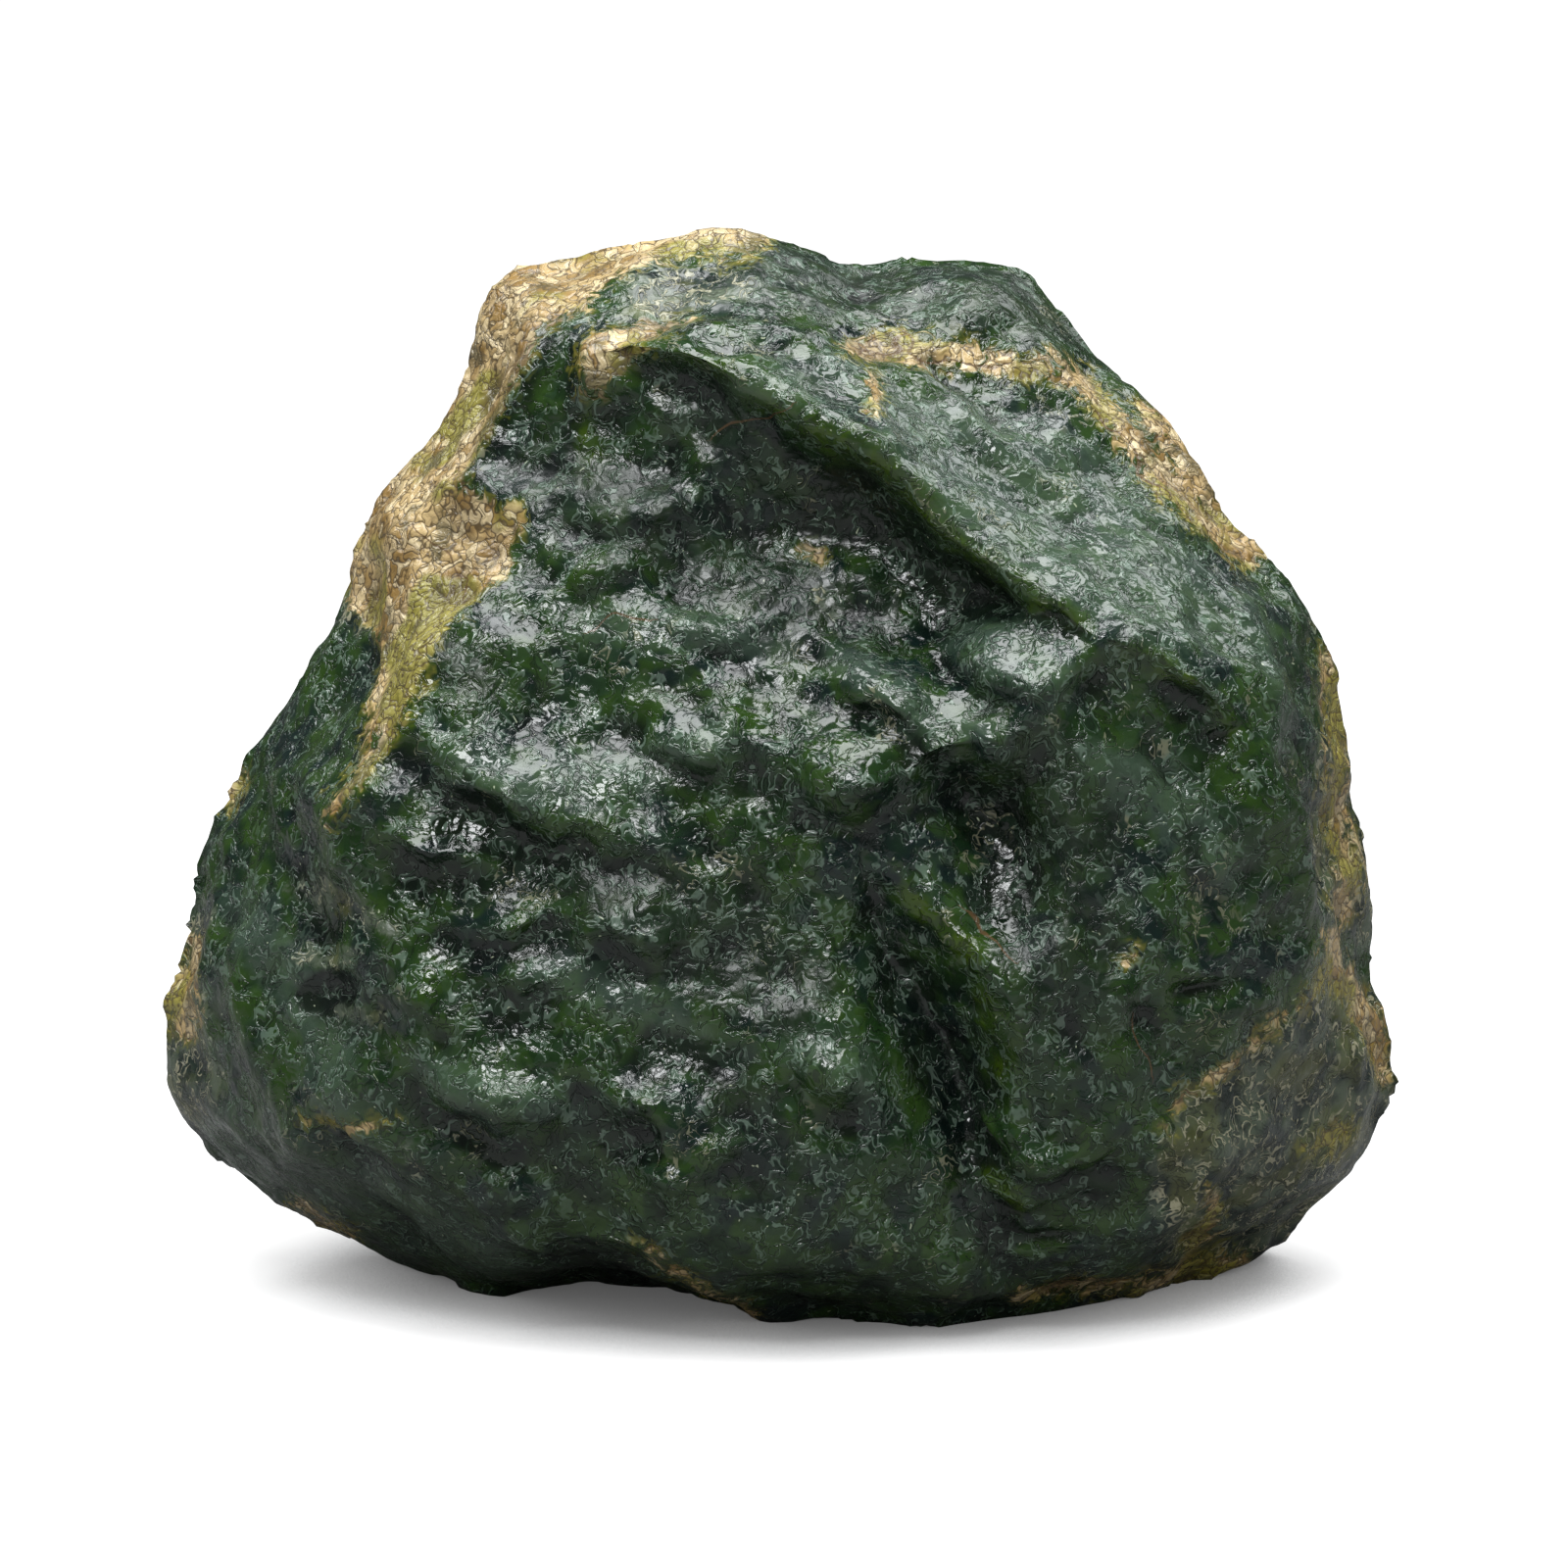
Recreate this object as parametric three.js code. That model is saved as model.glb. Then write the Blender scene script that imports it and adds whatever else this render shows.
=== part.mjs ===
// A raw nephrite jade boulder: one natural stone, waxy dark green where it is broken, with a pale
// weathered rind over its left shoulder and down its right flank. It is a single solid.
// Millimetres, +Z up, the stone standing on the plane z = 0, its front facing -Y.
import * as THREE from "three";
import { ConvexHull } from "three/addons/math/ConvexHull.js";
import { ImprovedNoise } from "three/addons/math/ImprovedNoise.js";

// Driving dimensions
const STONE_WIDTH = 317;
const HEART = new THREE.Vector3(25, 62, 160); // every point of the surface is in plain sight from here

// The front view that the forms are drawn on: a square grid of 1600 steps, counted from its top left
// corner, which the stone spans 1268 steps of. The viewer stands off and looks down a little.
const STEP = STONE_WIDTH / 1268;
const VIEW_MIDDLE = 800;
const VIEW_DISTANCE = 1200;
const LOOK_DOWN = THREE.MathUtils.degToRad(8);
const AIM_HEIGHT = 127.5;
const STAND_SHIFT = new THREE.Vector2(0.75, -6.47); // puts the middle of the stone's box over the origin

// How the mesh is made
const LINE_SPACING = 7.5; // between points along a form's line
const FRONT_EDGE = 10; // longest edge on the front, which has the most form
const BACK_EDGE = 14;
const REFINE_ROUNDS = 5;
const TWIN = 0.008; // least gap between the directions of two drawn points, as seen from the heart
const LEDGE_TWIN = 0.018; // the same for points along ledges
const REFINE_TWIN = 0.026; // and for points put in between
const ROUNDING = 0.3; // how far each rounding pass draws a point towards its neighbours
const ROUNDING_PASSES = 1;
const FRONT_FROM = -15; // depths over which the surface goes over from back to front
const FRONT_TO = 25;

// Chips and lumps of the surface: height and width of each size, how far it is creased between them,
// from round lumps at 0 to sharp crests at 1, and the share of its height that it has on the front
const LUMPS = [
  { height: 13, width: 58, crease: 1, front: 0 },
  { height: 4, width: 42, crease: 0, front: 1 },
  { height: 4, width: 27, crease: 0.7, front: 0.9 },
  { height: 1.2, width: 14, crease: 0.3, front: 1 },
];
const QUIET_EDGE = 30; // width along the outline over which the chips die out

// The forms, each a line of [across, down, forward]: steps of the front view's grid, and millimetres
// that the line stands forward of the stone's middle plane.

// The outline, clockwise from the left shoulder
const OUTLINE = [
  [476, 350, -6], [484, 318, -8], [500, 290, -10], [522, 264, -12], [590, 254, -14], [622, 245, -14],
  [690, 237, -12], [735, 230, -10], [758, 229, -10], [790, 239, -14], [850, 258, -18], [890, 264, -20],
  [930, 254, -22], [985, 258, -22], [1035, 261, -22], [1052, 270, -22], [1066, 288, -24],
  [1100, 324, -20], [1130, 367, -15], [1160, 394, -10], [1195, 427, -4], [1214, 456, 0],
  [1240, 490, 4], [1264, 530, 7], [1286, 548, 8], [1304, 580, 9], [1330, 604, 9],
  [1353, 645, 9], [1367, 672, 9], [1372, 700, 8], [1381, 740, 7], [1381, 780, 6],
  [1386, 825, 5], [1398, 860, 5], [1401, 900, 4], [1404, 960, 4], [1406, 1000, 4], [1414, 1022, 5],
  [1425, 1046, 6], [1433, 1082, 6], [1432, 1110, 6], [1420, 1142, 5], [1400, 1175, 4],
  [1370, 1210, 2], [1335, 1244, -2], [1302, 1278, -14], [1265, 1293, -4], [1200, 1312, 14],
  [1130, 1330, 32], [1080, 1340, 42], [1000, 1350, 51], [942, 1359, 60], [905, 1351, 52],
  [840, 1348, 52], [780, 1353, 55], [762, 1342, 51], [700, 1318, 38], [660, 1305, 28],
  [600, 1307, 18], [560, 1312, 14], [512, 1325, 27], [480, 1322, 23], [440, 1305, 8],
  [360, 1270, -4], [300, 1245, -5], [250, 1208, -2], [215, 1190, 0], [190, 1160, 2],
  [178, 1130, 3], [168, 1100, 4], [163, 1060, 4], [167, 1010, 3], [178, 970, 1], [186, 930, 0],
  [190, 890, -2], [205, 855, -3], [220, 815, -4], [245, 770, -5], [275, 735, -5], [300, 690, -6],
  [325, 655, -7], [345, 615, -8], [354, 590, -8], [352, 560, -8], [362, 530, -8], [385, 498, -7],
  [412, 472, -6], [445, 440, -6], [460, 405, -6], [470, 385, -6], [476, 350, -6],
];

// Ridges and edges that part the faces of the front, and the feet of the steepest
const FRONT_RIDGES = {
  rindBrow: [[500, 330, 4], [540, 300, 8], [600, 285, 8], [660, 262, 4], [735, 262, 8], [775, 268, 12]],
  rindEdge: [[560, 330, 20], [532, 378, 24], [505, 424, 27], [480, 468, 29], [466, 502, 31]],
  slitFace: [[590, 345, 26], [580, 390, 29], [574, 440, 33], [560, 475, 35], [530, 495, 36]],
  rindShelf: [[466, 508, 33], [500, 514, 38], [536, 527, 43]],
  leftEdge: [
    [536, 527, 43], [521, 565, 47], [500, 595, 50], [474, 619, 52], [446, 655, 55], [419, 700, 59],
    [396, 740, 63], [375, 785, 67], [346, 818, 65], [329, 842, 62], [320, 880, 57],
  ],
  capCrest: [
    [590, 398, 36], [600, 362, 36], [632, 346, 40], [666, 350, 46], [702, 357, 51], [736, 371, 55],
    [768, 389, 58], [803, 411, 59],
  ],
  diagonalCrest: [
    [803, 411, 59], [832, 435, 58], [866, 446, 60], [902, 462, 62], [926, 488, 63], [946, 520, 64],
    [972, 548, 66], [1002, 566, 68], [1032, 587, 70], [1062, 611, 73], [1092, 633, 76], [1116, 648, 78],
  ],
  flankCrest: [
    [1116, 648, 78], [1150, 654, 79], [1186, 668, 79], [1216, 690, 77], [1240, 716, 74], [1253, 742, 71],
  ],
  patchEdge: [[1116, 650, 78], [1092, 668, 80], [1072, 690, 81], [1056, 712, 82], [1036, 738, 82]],
  flankEdge: [
    [1253, 742, 71], [1278, 772, 68], [1302, 802, 65], [1326, 842, 61], [1338, 880, 58],
    [1338, 930, 56], [1330, 980, 57], [1306, 1030, 63], [1275, 1064, 69], [1240, 1088, 75],
    [1206, 1110, 79], [1186, 1145, 80], [1174, 1190, 79], [1182, 1236, 72], [1190, 1270, 58],
  ],
  spur: [
    [878, 884, 80], [925, 904, 83], [955, 934, 88], [985, 962, 91], [1015, 990, 93], [1032, 1030, 94],
    [1042, 1075, 94], [1034, 1115, 92], [1025, 1155, 91], [1020, 1190, 92], [1034, 1225, 90],
    [1052, 1256, 86],
  ],
  valleyEdge: [
    [866, 890, 82], [871, 950, 84], [876, 1010, 85], [892, 1045, 83], [930, 1080, 79], [952, 1130, 79],
    [962, 1190, 82],
  ],
  veinLine: [
    [880, 350, 26], [910, 345, 22], [960, 345, 17], [1010, 358, 13], [1060, 372, 10], [1105, 398, 10],
    [1150, 445, 14], [1200, 500, 19], [1245, 535, 21],
  ],
  whiteSpotRidge: [[878, 356, 29], [893, 402, 43], [912, 446, 57]],
  undercutCrest: [
    [180, 1116, 10], [216, 1137, 26], [260, 1160, 41], [300, 1168, 55], [350, 1165, 66], [400, 1173, 76],
    [430, 1208, 80], [470, 1226, 81], [506, 1245, 82], [530, 1274, 80], [547, 1287, 78],
  ],
  archEdge: [
    [547, 1287, 78], [575, 1272, 76], [606, 1264, 78], [642, 1266, 82], [670, 1285, 81], [700, 1306, 75],
    [736, 1328, 68], [765, 1343, 58],
  ],
  capFoot: [[612, 425, 35], [650, 394, 38], [690, 384, 41], [726, 398, 43], [760, 416, 44], [792, 432, 45]],
  diagonalFoot: [
    [820, 472, 44], [868, 508, 43], [914, 546, 44], [958, 578, 47], [1000, 604, 50], [1040, 630, 56],
    [1078, 652, 66],
  ],
  flankFoot: [[1092, 688, 71], [1138, 682, 72], [1180, 694, 71], [1212, 716, 68], [1236, 746, 64]],
  valley: [
    [886, 930, 71], [906, 975, 69], [935, 1010, 68], [964, 1050, 67], [984, 1100, 67], [986, 1150, 70],
    [998, 1200, 75], [1010, 1242, 78],
  ],
};

// Hollows and the faces between the ridges
const FRONT_FACES = {
  upperHollow: [[640, 470, 41], [700, 480, 42], [760, 500, 41], [830, 528, 41], [890, 556, 45]],
  capFace: [[700, 305, 28], [790, 290, 16], [840, 330, 28], [780, 350, 40], [850, 400, 46]],
  topFace: [[880, 300, 4], [950, 290, -4], [1020, 300, -8], [1000, 330, 4], [930, 320, 8]],
  flankFace: [[960, 430, 38], [1020, 500, 47], [1080, 560, 56], [1160, 610, 63], [1210, 650, 68]],
  flankFaceHigh: [[1000, 410, 25], [1080, 460, 28], [1150, 520, 36], [1210, 570, 42], [1250, 630, 50]],
  shoulder: [[1270, 590, 30], [1290, 640, 42], [1300, 700, 54], [1335, 720, 36], [1340, 780, 42]],
  brightPatch: [[985, 640, 54], [1000, 672, 64], [1012, 704, 73], [1044, 660, 61], [1050, 684, 70]],
  midFace: [[600, 620, 55], [700, 600, 53], [800, 610, 54], [880, 620, 54], [940, 640, 54]],
  midFaceLow: [[540, 660, 60], [620, 690, 63], [720, 680, 63], [820, 690, 66], [920, 700, 70]],
  aboveShelf: [[480, 720, 64], [540, 735, 66], [620, 750, 69], [700, 755, 72], [800, 770, 77]],
  besidePit: [[880, 790, 84], [950, 770, 82], [970, 860, 80], [910, 850, 83]],
  pit: [[985, 822, 68], [1010, 838, 66], [1025, 815, 69]],
  lowShelfAbove: [[440, 1040, 82], [520, 1070, 87], [600, 1090, 89], [680, 1080, 89]],
  lowerFront: [[680, 1150, 95], [760, 1120, 92], [850, 1110, 92], [880, 1180, 91], [790, 1200, 95]],
  apron: [[690, 1240, 93], [780, 1270, 90], [870, 1265, 87], [960, 1290, 82], [1060, 1295, 76]],
  apronLow: [[760, 1315, 78], [850, 1318, 74], [940, 1330, 72], [1040, 1325, 60]],
  rightFace: [[1060, 780, 80], [1130, 760, 80], [1210, 780, 73], [1100, 860, 84], [1190, 880, 78]],
  rightFaceLow: [[1270, 880, 68], [1090, 960, 89], [1180, 960, 84], [1270, 980, 71], [1120, 1060, 88]],
  rightFaceFoot: [[1200, 1050, 80], [1110, 1150, 87], [1110, 1220, 83], [1130, 1280, 68]],
  rindFlank: [[1362, 850, 28], [1372, 920, 30], [1370, 990, 34], [1376, 1050, 36], [1406, 1085, 20]],
  rindFoot: [[1330, 1085, 52], [1290, 1140, 60], [1350, 1150, 40], [1250, 1190, 63], [1320, 1205, 38]],
  rindToe: [[1230, 1250, 50], [1280, 1245, 30]],
  slitFloor: [[560, 385, 24], [535, 430, 27], [510, 470, 30]],
  rindFace: [[500, 380, 10], [470, 440, 14], [430, 500, 16], [400, 540, 16], [430, 560, 26]],
  rindPatch: [[450, 540, 31], [490, 560, 40], [455, 600, 42], [420, 620, 33]],
  leftSide: [[390, 640, 24], [370, 700, 34], [330, 690, 12], [340, 760, 38], [290, 760, 14]],
  leftSideLow: [[300, 810, 38], [260, 830, 18], [270, 890, 33], [225, 890, 14], [240, 950, 30]],
  cleft: [[306, 880, 42], [314, 915, 46], [324, 945, 52]],
  bulge: [[280, 960, 46], [340, 965, 64], [335, 1010, 60], [300, 1050, 57], [370, 1050, 72]],
  bulgeSide: [[205, 1000, 24], [200, 1060, 27], [240, 1020, 42], [250, 1090, 46], [330, 1110, 66]],
  innerBulge: [[360, 890, 68], [400, 940, 76], [450, 930, 79], [400, 1000, 77], [470, 1000, 81]],
  undercut: [[250, 1180, 22], [310, 1222, 22], [380, 1222, 50], [440, 1262, 52], [500, 1296, 52]],
  archRoof: [[580, 1292, 46], [620, 1284, 50], [664, 1298, 46]],
};

// Ledges of the broken front: the line of each one's lip on the view, how far the lip stands out, and
// how far above and below it the surface is back on its face, in millimetres.
const LEDGES = [
  { line: [[452, 765], [505, 808], [545, 842], [600, 836], [652, 862]], lift: 8, above: 24, below: 7 },
  { line: [[664, 742], [700, 760], [738, 782]], lift: 6, above: 14, below: 6 },
  { line: [[700, 700], [728, 722], [756, 748]], lift: 4, above: 9, below: 5 },
  { line: [[860, 668], [900, 705], [938, 732]], lift: 5.5, above: 14, below: 6 },
  { line: [[806, 790], [832, 814], [872, 818], [925, 792]], lift: 7, above: 22, below: 7 },
  { line: [[392, 852], [440, 872], [508, 876]], lift: 4.5, above: 12, below: 6 },
  { line: [[590, 930], [620, 945], [660, 960], [705, 958]], lift: 6, above: 20, below: 7 },
  { line: [[510, 992], [545, 1004], [580, 998]], lift: 4.5, above: 12, below: 6 },
  { line: [[395, 1000], [425, 1022], [458, 1036]], lift: 4, above: 10, below: 6 },
  { line: [[430, 1092], [470, 1118], [505, 1142], [580, 1148]], lift: 7.5, above: 20, below: 8 },
  { line: [[612, 1120], [655, 1138], [708, 1138]], lift: 5, above: 12, below: 6 },
  { line: [[640, 1190], [680, 1204], [712, 1206]], lift: 5, above: 12, below: 6 },
  { line: [[690, 1160], [725, 1172], [762, 1180]], lift: 4.5, above: 10, below: 6 },
  { line: [[808, 1080], [835, 1102], [862, 1114], [895, 1108]], lift: 6, above: 16, below: 7 },
  { line: [[580, 572], [600, 585], [660, 580]], lift: 4, above: 10, below: 6 },
  { line: [[585, 520], [645, 530], [715, 516]], lift: 5, above: 14, below: 6 },
  { line: [[1190, 1035], [1240, 1050], [1300, 1035]], lift: 4, above: 12, below: 6 },
  { line: [[1030, 1175], [1062, 1200], [1100, 1200]], lift: 4.5, above: 12, below: 6 },
  { line: [[1030, 1275], [1080, 1292], [1140, 1284]], lift: 5, above: 12, below: 6 },
  { line: [[480, 940], [520, 950], [552, 930]], lift: 4, above: 12, below: 6 },
  { line: [[300, 985], [345, 994], [378, 980]], lift: 4, above: 10, below: 6 },
  { line: [[690, 638], [745, 648], [790, 652]], lift: 3.5, above: 10, below: 6 },
  { line: [[495, 1205], [520, 1222], [548, 1220]], lift: 4, above: 10, below: 6 },
];
const LEDGE_ENDS = 0.35; // share of the lift that is left at a ledge's ends
const LEDGE_UNDERCUT = 0.35; // share of the lift by which the surface is hollowed below a ledge
const LEDGE_SPACING = 36; // steps of the view between the points along a ledge

// The back, drawn on the same view as if the stone were clear
const BACK = {
  highRidge: [[560, 330, -44], [700, 300, -48], [840, 318, -58], [980, 330, -56], [1060, 390, -52]],
  brow: [[470, 480, -46], [600, 440, -70], [760, 430, -82], [930, 450, -84], [1090, 500, -70]],
  scar: [[520, 600, -74], [660, 560, -90], [820, 590, -84], [960, 600, -92], [1130, 610, -78]],
  waist: [[350, 740, -50], [480, 750, -78], [640, 720, -98], [800, 760, -96], [980, 740, -104]],
  waistEnd: [[1130, 760, -92], [1260, 740, -62]],
  belly: [[260, 900, -46], [400, 900, -80], [580, 900, -102], [780, 910, -110], [980, 900, -108]],
  bellyEnd: [[1160, 920, -92], [1310, 900, -52]],
  hip: [[240, 1040, -44], [360, 1060, -72], [540, 1050, -92], [740, 1060, -100], [940, 1070, -104]],
  hipEnd: [[1120, 1060, -92], [1290, 1060, -64], [1380, 1050, -30]],
  heel: [[300, 1150, -42], [460, 1170, -70], [660, 1180, -86], [880, 1185, -92], [1080, 1170, -80]],
  heelEnd: [[1240, 1150, -58], [1340, 1130, -34]],
};

// The underside in millimetres of x, y and z, worn flat where it stands
const UNDERSIDE = [
  [-95, 30, 9], [-85, 55, 6], [-60, 30, -4], [-60, 60, -3], [-45, -4, -3], [-25, -15, -2],
  [-30, 20, -4], [-25, 62, -4], [0, -25, -4], [5, 10, -5], [10, 60, -4], [30, -30, -4],
  [40, 0, -5], [45, 50, -4], [70, -20, -4], [75, 20, -5], [85, 50, -2], [105, 10, -2],
  [120, 30, 8], [110, -8, -2], [-105, 5, 12],
];

// The point of the stone that the viewer sees at a place of the view, at a given depth.
function seen(across, down, forward) {
  const right = ((across - VIEW_MIDDLE) * STEP) / VIEW_DISTANCE;
  const up = ((VIEW_MIDDLE - down) * STEP) / VIEW_DISTANCE;
  const sin = Math.sin(LOOK_DOWN);
  const cos = Math.cos(LOOK_DOWN);
  const reach = (VIEW_DISTANCE * cos - forward) / (cos + up * sin);
  const height = AIM_HEIGHT + VIEW_DISTANCE * sin + reach * (up * cos - sin);
  return new THREE.Vector3(right * reach, -forward, height);
}

// A line's points with more put between them, so that the mesh keeps the line as an edge.
function densify(points, spacing) {
  const line = [points[0]];
  for (let i = 1; i < points.length; i++) {
    const pieces = Math.ceil(points[i - 1].distanceTo(points[i]) / spacing);
    for (let k = 1; k <= pieces; k++) {
      line.push(points[i - 1].clone().lerp(points[i], k / pieces));
    }
  }
  return line;
}

function controlPoints() {
  const place = (line) => line.map((p) => seen(...p));
  const points = densify(place(OUTLINE), LINE_SPACING);
  for (const line of Object.values(FRONT_RIDGES)) points.push(...densify(place(line), LINE_SPACING));
  for (const line of Object.values(FRONT_FACES)) points.push(...place(line));
  for (const line of Object.values(BACK)) points.push(...place(line));
  points.push(...UNDERSIDE.map((p) => new THREE.Vector3(...p)));
  const main = joined([], points, TWIN);
  const depthAt = depthReader(main);
  return joined(main, LEDGES.flatMap((ledge) => ledgePoints(ledge, depthAt)), LEDGE_TWIN);
}

// Where the viewer sees a point of the stone: the inverse of seen().
function viewOf(p) {
  const sin = Math.sin(LOOK_DOWN);
  const cos = Math.cos(LOOK_DOWN);
  const y = p.y + VIEW_DISTANCE * cos;
  const z = p.z - AIM_HEIGHT - VIEW_DISTANCE * sin;
  const scale = VIEW_DISTANCE / (y * cos - z * sin) / STEP;
  return { across: VIEW_MIDDLE + p.x * scale, down: VIEW_MIDDLE - (y * sin + z * cos) * scale, forward: -p.y };
}

// How far forward the surface that the viewer sees stands, at a place of the view.
function depthReader(points) {
  const views = points.map(viewOf);
  const facing = net(points).map((corners) => corners.map((i) => views[i]));
  const turn = (a, b, across, down) => {
    return (b.across - a.across) * (down - a.down) - (b.down - a.down) * (across - a.across);
  };
  return (across, down) => {
    for (const [a, b, c] of facing) {
      const shares = [turn(b, c, across, down), turn(c, a, across, down), turn(a, b, across, down)];
      if (shares.some((share) => share > 0)) continue;
      const whole = shares[0] + shares[1] + shares[2];
      return (a.forward * shares[0] + b.forward * shares[1] + c.forward * shares[2]) / whole;
    }
    throw new Error(`the view has no stone at ${across}, ${down}`);
  };
}

// Points along a ledge's lip and along the foot of its step, still at the depth of the plain face.
function ledgePoints({ line, below }, depthAt) {
  const flat = densify(line.map(([across, down]) => new THREE.Vector3(across, down, 0)), LEDGE_SPACING);
  return flat.flatMap((p, i) => {
    const along = flat[Math.min(i + 1, flat.length - 1)].clone().sub(flat[Math.max(i - 1, 0)]).normalize();
    const at = (distance) => {
      const across = p.x + (along.y * distance) / STEP;
      const down = p.y - (along.x * distance) / STEP;
      return seen(across, down, depthAt(across, down));
    };
    return [at(0), at(-below)];
  });
}

// How far a ledge stands out at a place of the view: most at its lip, less and less up the slope above
// it, and hollow below the step.
function ledgeRise({ line, lift, above, below }, across, down) {
  let nearest = { distance: Infinity };
  let start = 0;
  for (let i = 1; i < line.length; i++) {
    const [fromAcross, fromDown] = line[i - 1];
    const wide = line[i][0] - fromAcross;
    const deep = line[i][1] - fromDown;
    const length = Math.hypot(wide, deep);
    const run = ((across - fromAcross) * wide + (down - fromDown) * deep) / length;
    const held = THREE.MathUtils.clamp(run, 0, length);
    const side = ((across - fromAcross) * deep - (down - fromDown) * wide) / length;
    const distance = Math.hypot(run - held, side) * STEP;
    if (distance < nearest.distance) nearest = { distance, upward: side > 0, run: start + held };
    start += length;
  }
  const height = lift * THREE.MathUtils.lerp(LEDGE_ENDS, 1, Math.sin((Math.PI * nearest.run) / start));
  if (nearest.upward) return height * Math.max(0, 1 - nearest.distance / above);
  if (nearest.distance < below) return height * (1 - ((1 + LEDGE_UNDERCUT) * nearest.distance) / below);
  return -height * LEDGE_UNDERCUT * Math.max(0, 1.5 - nearest.distance / (2 * below));
}

// A point of the front brought forward by the ledges that it belongs to.
function stepped(p) {
  if (frontness(p) === 0) return p.clone();
  const { across, down, forward } = viewOf(p);
  const rise = LEDGES.reduce((sum, ledge) => sum + ledgeRise(ledge, across, down), 0);
  return seen(across, down, forward + rise);
}

const wayOf = (p) => p.clone().sub(HEART).normalize();

// The points, and of the added ones those whose directions from the heart are all at least a gap apart.
function joined(points, added, gap) {
  const kept = points.map((p) => ({ p, way: wayOf(p) }));
  for (const p of added) {
    const way = wayOf(p);
    if (kept.every((k) => k.way.distanceTo(way) > gap)) kept.push({ p, way });
  }
  return kept.map((k) => k.p);
}

// Triangles between the points as seen from the heart: the hull of their directions is their
// Delaunay net on a sphere, so that it never folds over.
function net(points) {
  const ways = points.map(wayOf);
  const numberOf = new Map(ways.map((way, i) => [way, i]));
  return new ConvexHull().setFromPoints(ways).faces.map((face) => {
    const corners = [];
    let edge = face.edge;
    do {
      corners.push(numberOf.get(edge.head().point));
      edge = edge.next;
    } while (edge !== face.edge);
    return corners;
  });
}

function smoothStep(low, high, value) {
  const t = THREE.MathUtils.clamp((value - low) / (high - low), 0, 1);
  return t * t * (3 - 2 * t);
}

const frontness = (p) => smoothStep(FRONT_FROM, FRONT_TO, -p.y);

// Puts a point in the middle of every edge that is too long for its part of the stone.
function refine(points) {
  const added = new Map();
  for (const triangle of net(points)) {
    triangle.forEach((a, i) => {
      const b = triangle[(i + 1) % 3];
      const middle = points[a].clone().lerp(points[b], 0.5);
      const longest = THREE.MathUtils.lerp(BACK_EDGE, FRONT_EDGE, frontness(middle));
      if (points[a].distanceTo(points[b]) > longest) added.set(`${Math.min(a, b)} ${Math.max(a, b)}`, middle);
    });
  }
  return joined(points, added.values(), REFINE_TWIN);
}

// Draws every point towards the mean of its neighbours, which rounds the edges off.
function rounded(points, triangles) {
  const sums = points.map(() => ({ sum: new THREE.Vector3(), count: 0 }));
  for (const [a, b, c] of triangles) {
    for (const [here, other] of [[a, b], [b, c], [c, a]]) {
      sums[here].sum.add(points[other]);
      sums[here].count += 1;
    }
  }
  return points.map((p, i) => p.clone().lerp(sums[i].sum.divideScalar(sums[i].count), ROUNDING));
}

const noise = new ImprovedNoise();

// Chips and lumps, in and out along the line from the heart, that leave the outline as it is drawn.
function weathered(p, outline) {
  const lift = LUMPS.reduce((sum, { height, width, crease, front }, i) => {
    const wave = noise.noise(p.x / width + 7.3 * i, p.y / width + 3.1, p.z / width + 5.7 * i);
    const here = height * THREE.MathUtils.lerp(1, front, frontness(p));
    return sum + here * THREE.MathUtils.lerp(wave, 0.4 - 2 * Math.abs(wave), crease);
  }, 0);
  const nearest = Math.min(...outline.map((q) => q.distanceTo(p)));
  return p.clone().add(p.clone().sub(HEART).setLength(lift * smoothStep(0, QUIET_EDGE, nearest)));
}

function stoneGeometry() {
  let points = controlPoints();
  for (let i = 0; i < REFINE_ROUNDS; i++) points = refine(points);
  const triangles = net(points);
  for (let i = 0; i < ROUNDING_PASSES; i++) points = rounded(points, triangles);
  const outline = densify(OUTLINE.map((p) => seen(...p)), LINE_SPACING);
  points = points.map((p) => weathered(stepped(p), outline));
  for (const p of points) p.z = Math.max(p.z, 0); // worn flat where it stands
  const geometry = new THREE.BufferGeometry().setFromPoints(points);
  geometry.setIndex(triangles.flat());
  geometry.translate(STAND_SHIFT.x, STAND_SHIFT.y, 0);
  geometry.computeVertexNormals();
  return geometry;
}

const nephrite = new THREE.MeshStandardMaterial({ color: 0x24382a, roughness: 0.35, metalness: 0 });
const stone = new THREE.Mesh(stoneGeometry(), nephrite);
stone.name = "jade_stone";

const boulder = new THREE.Group();
boulder.add(stone);

export default boulder;
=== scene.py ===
# Raw nephrite jade boulder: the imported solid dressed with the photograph's surface.
import itertools
import math

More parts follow.
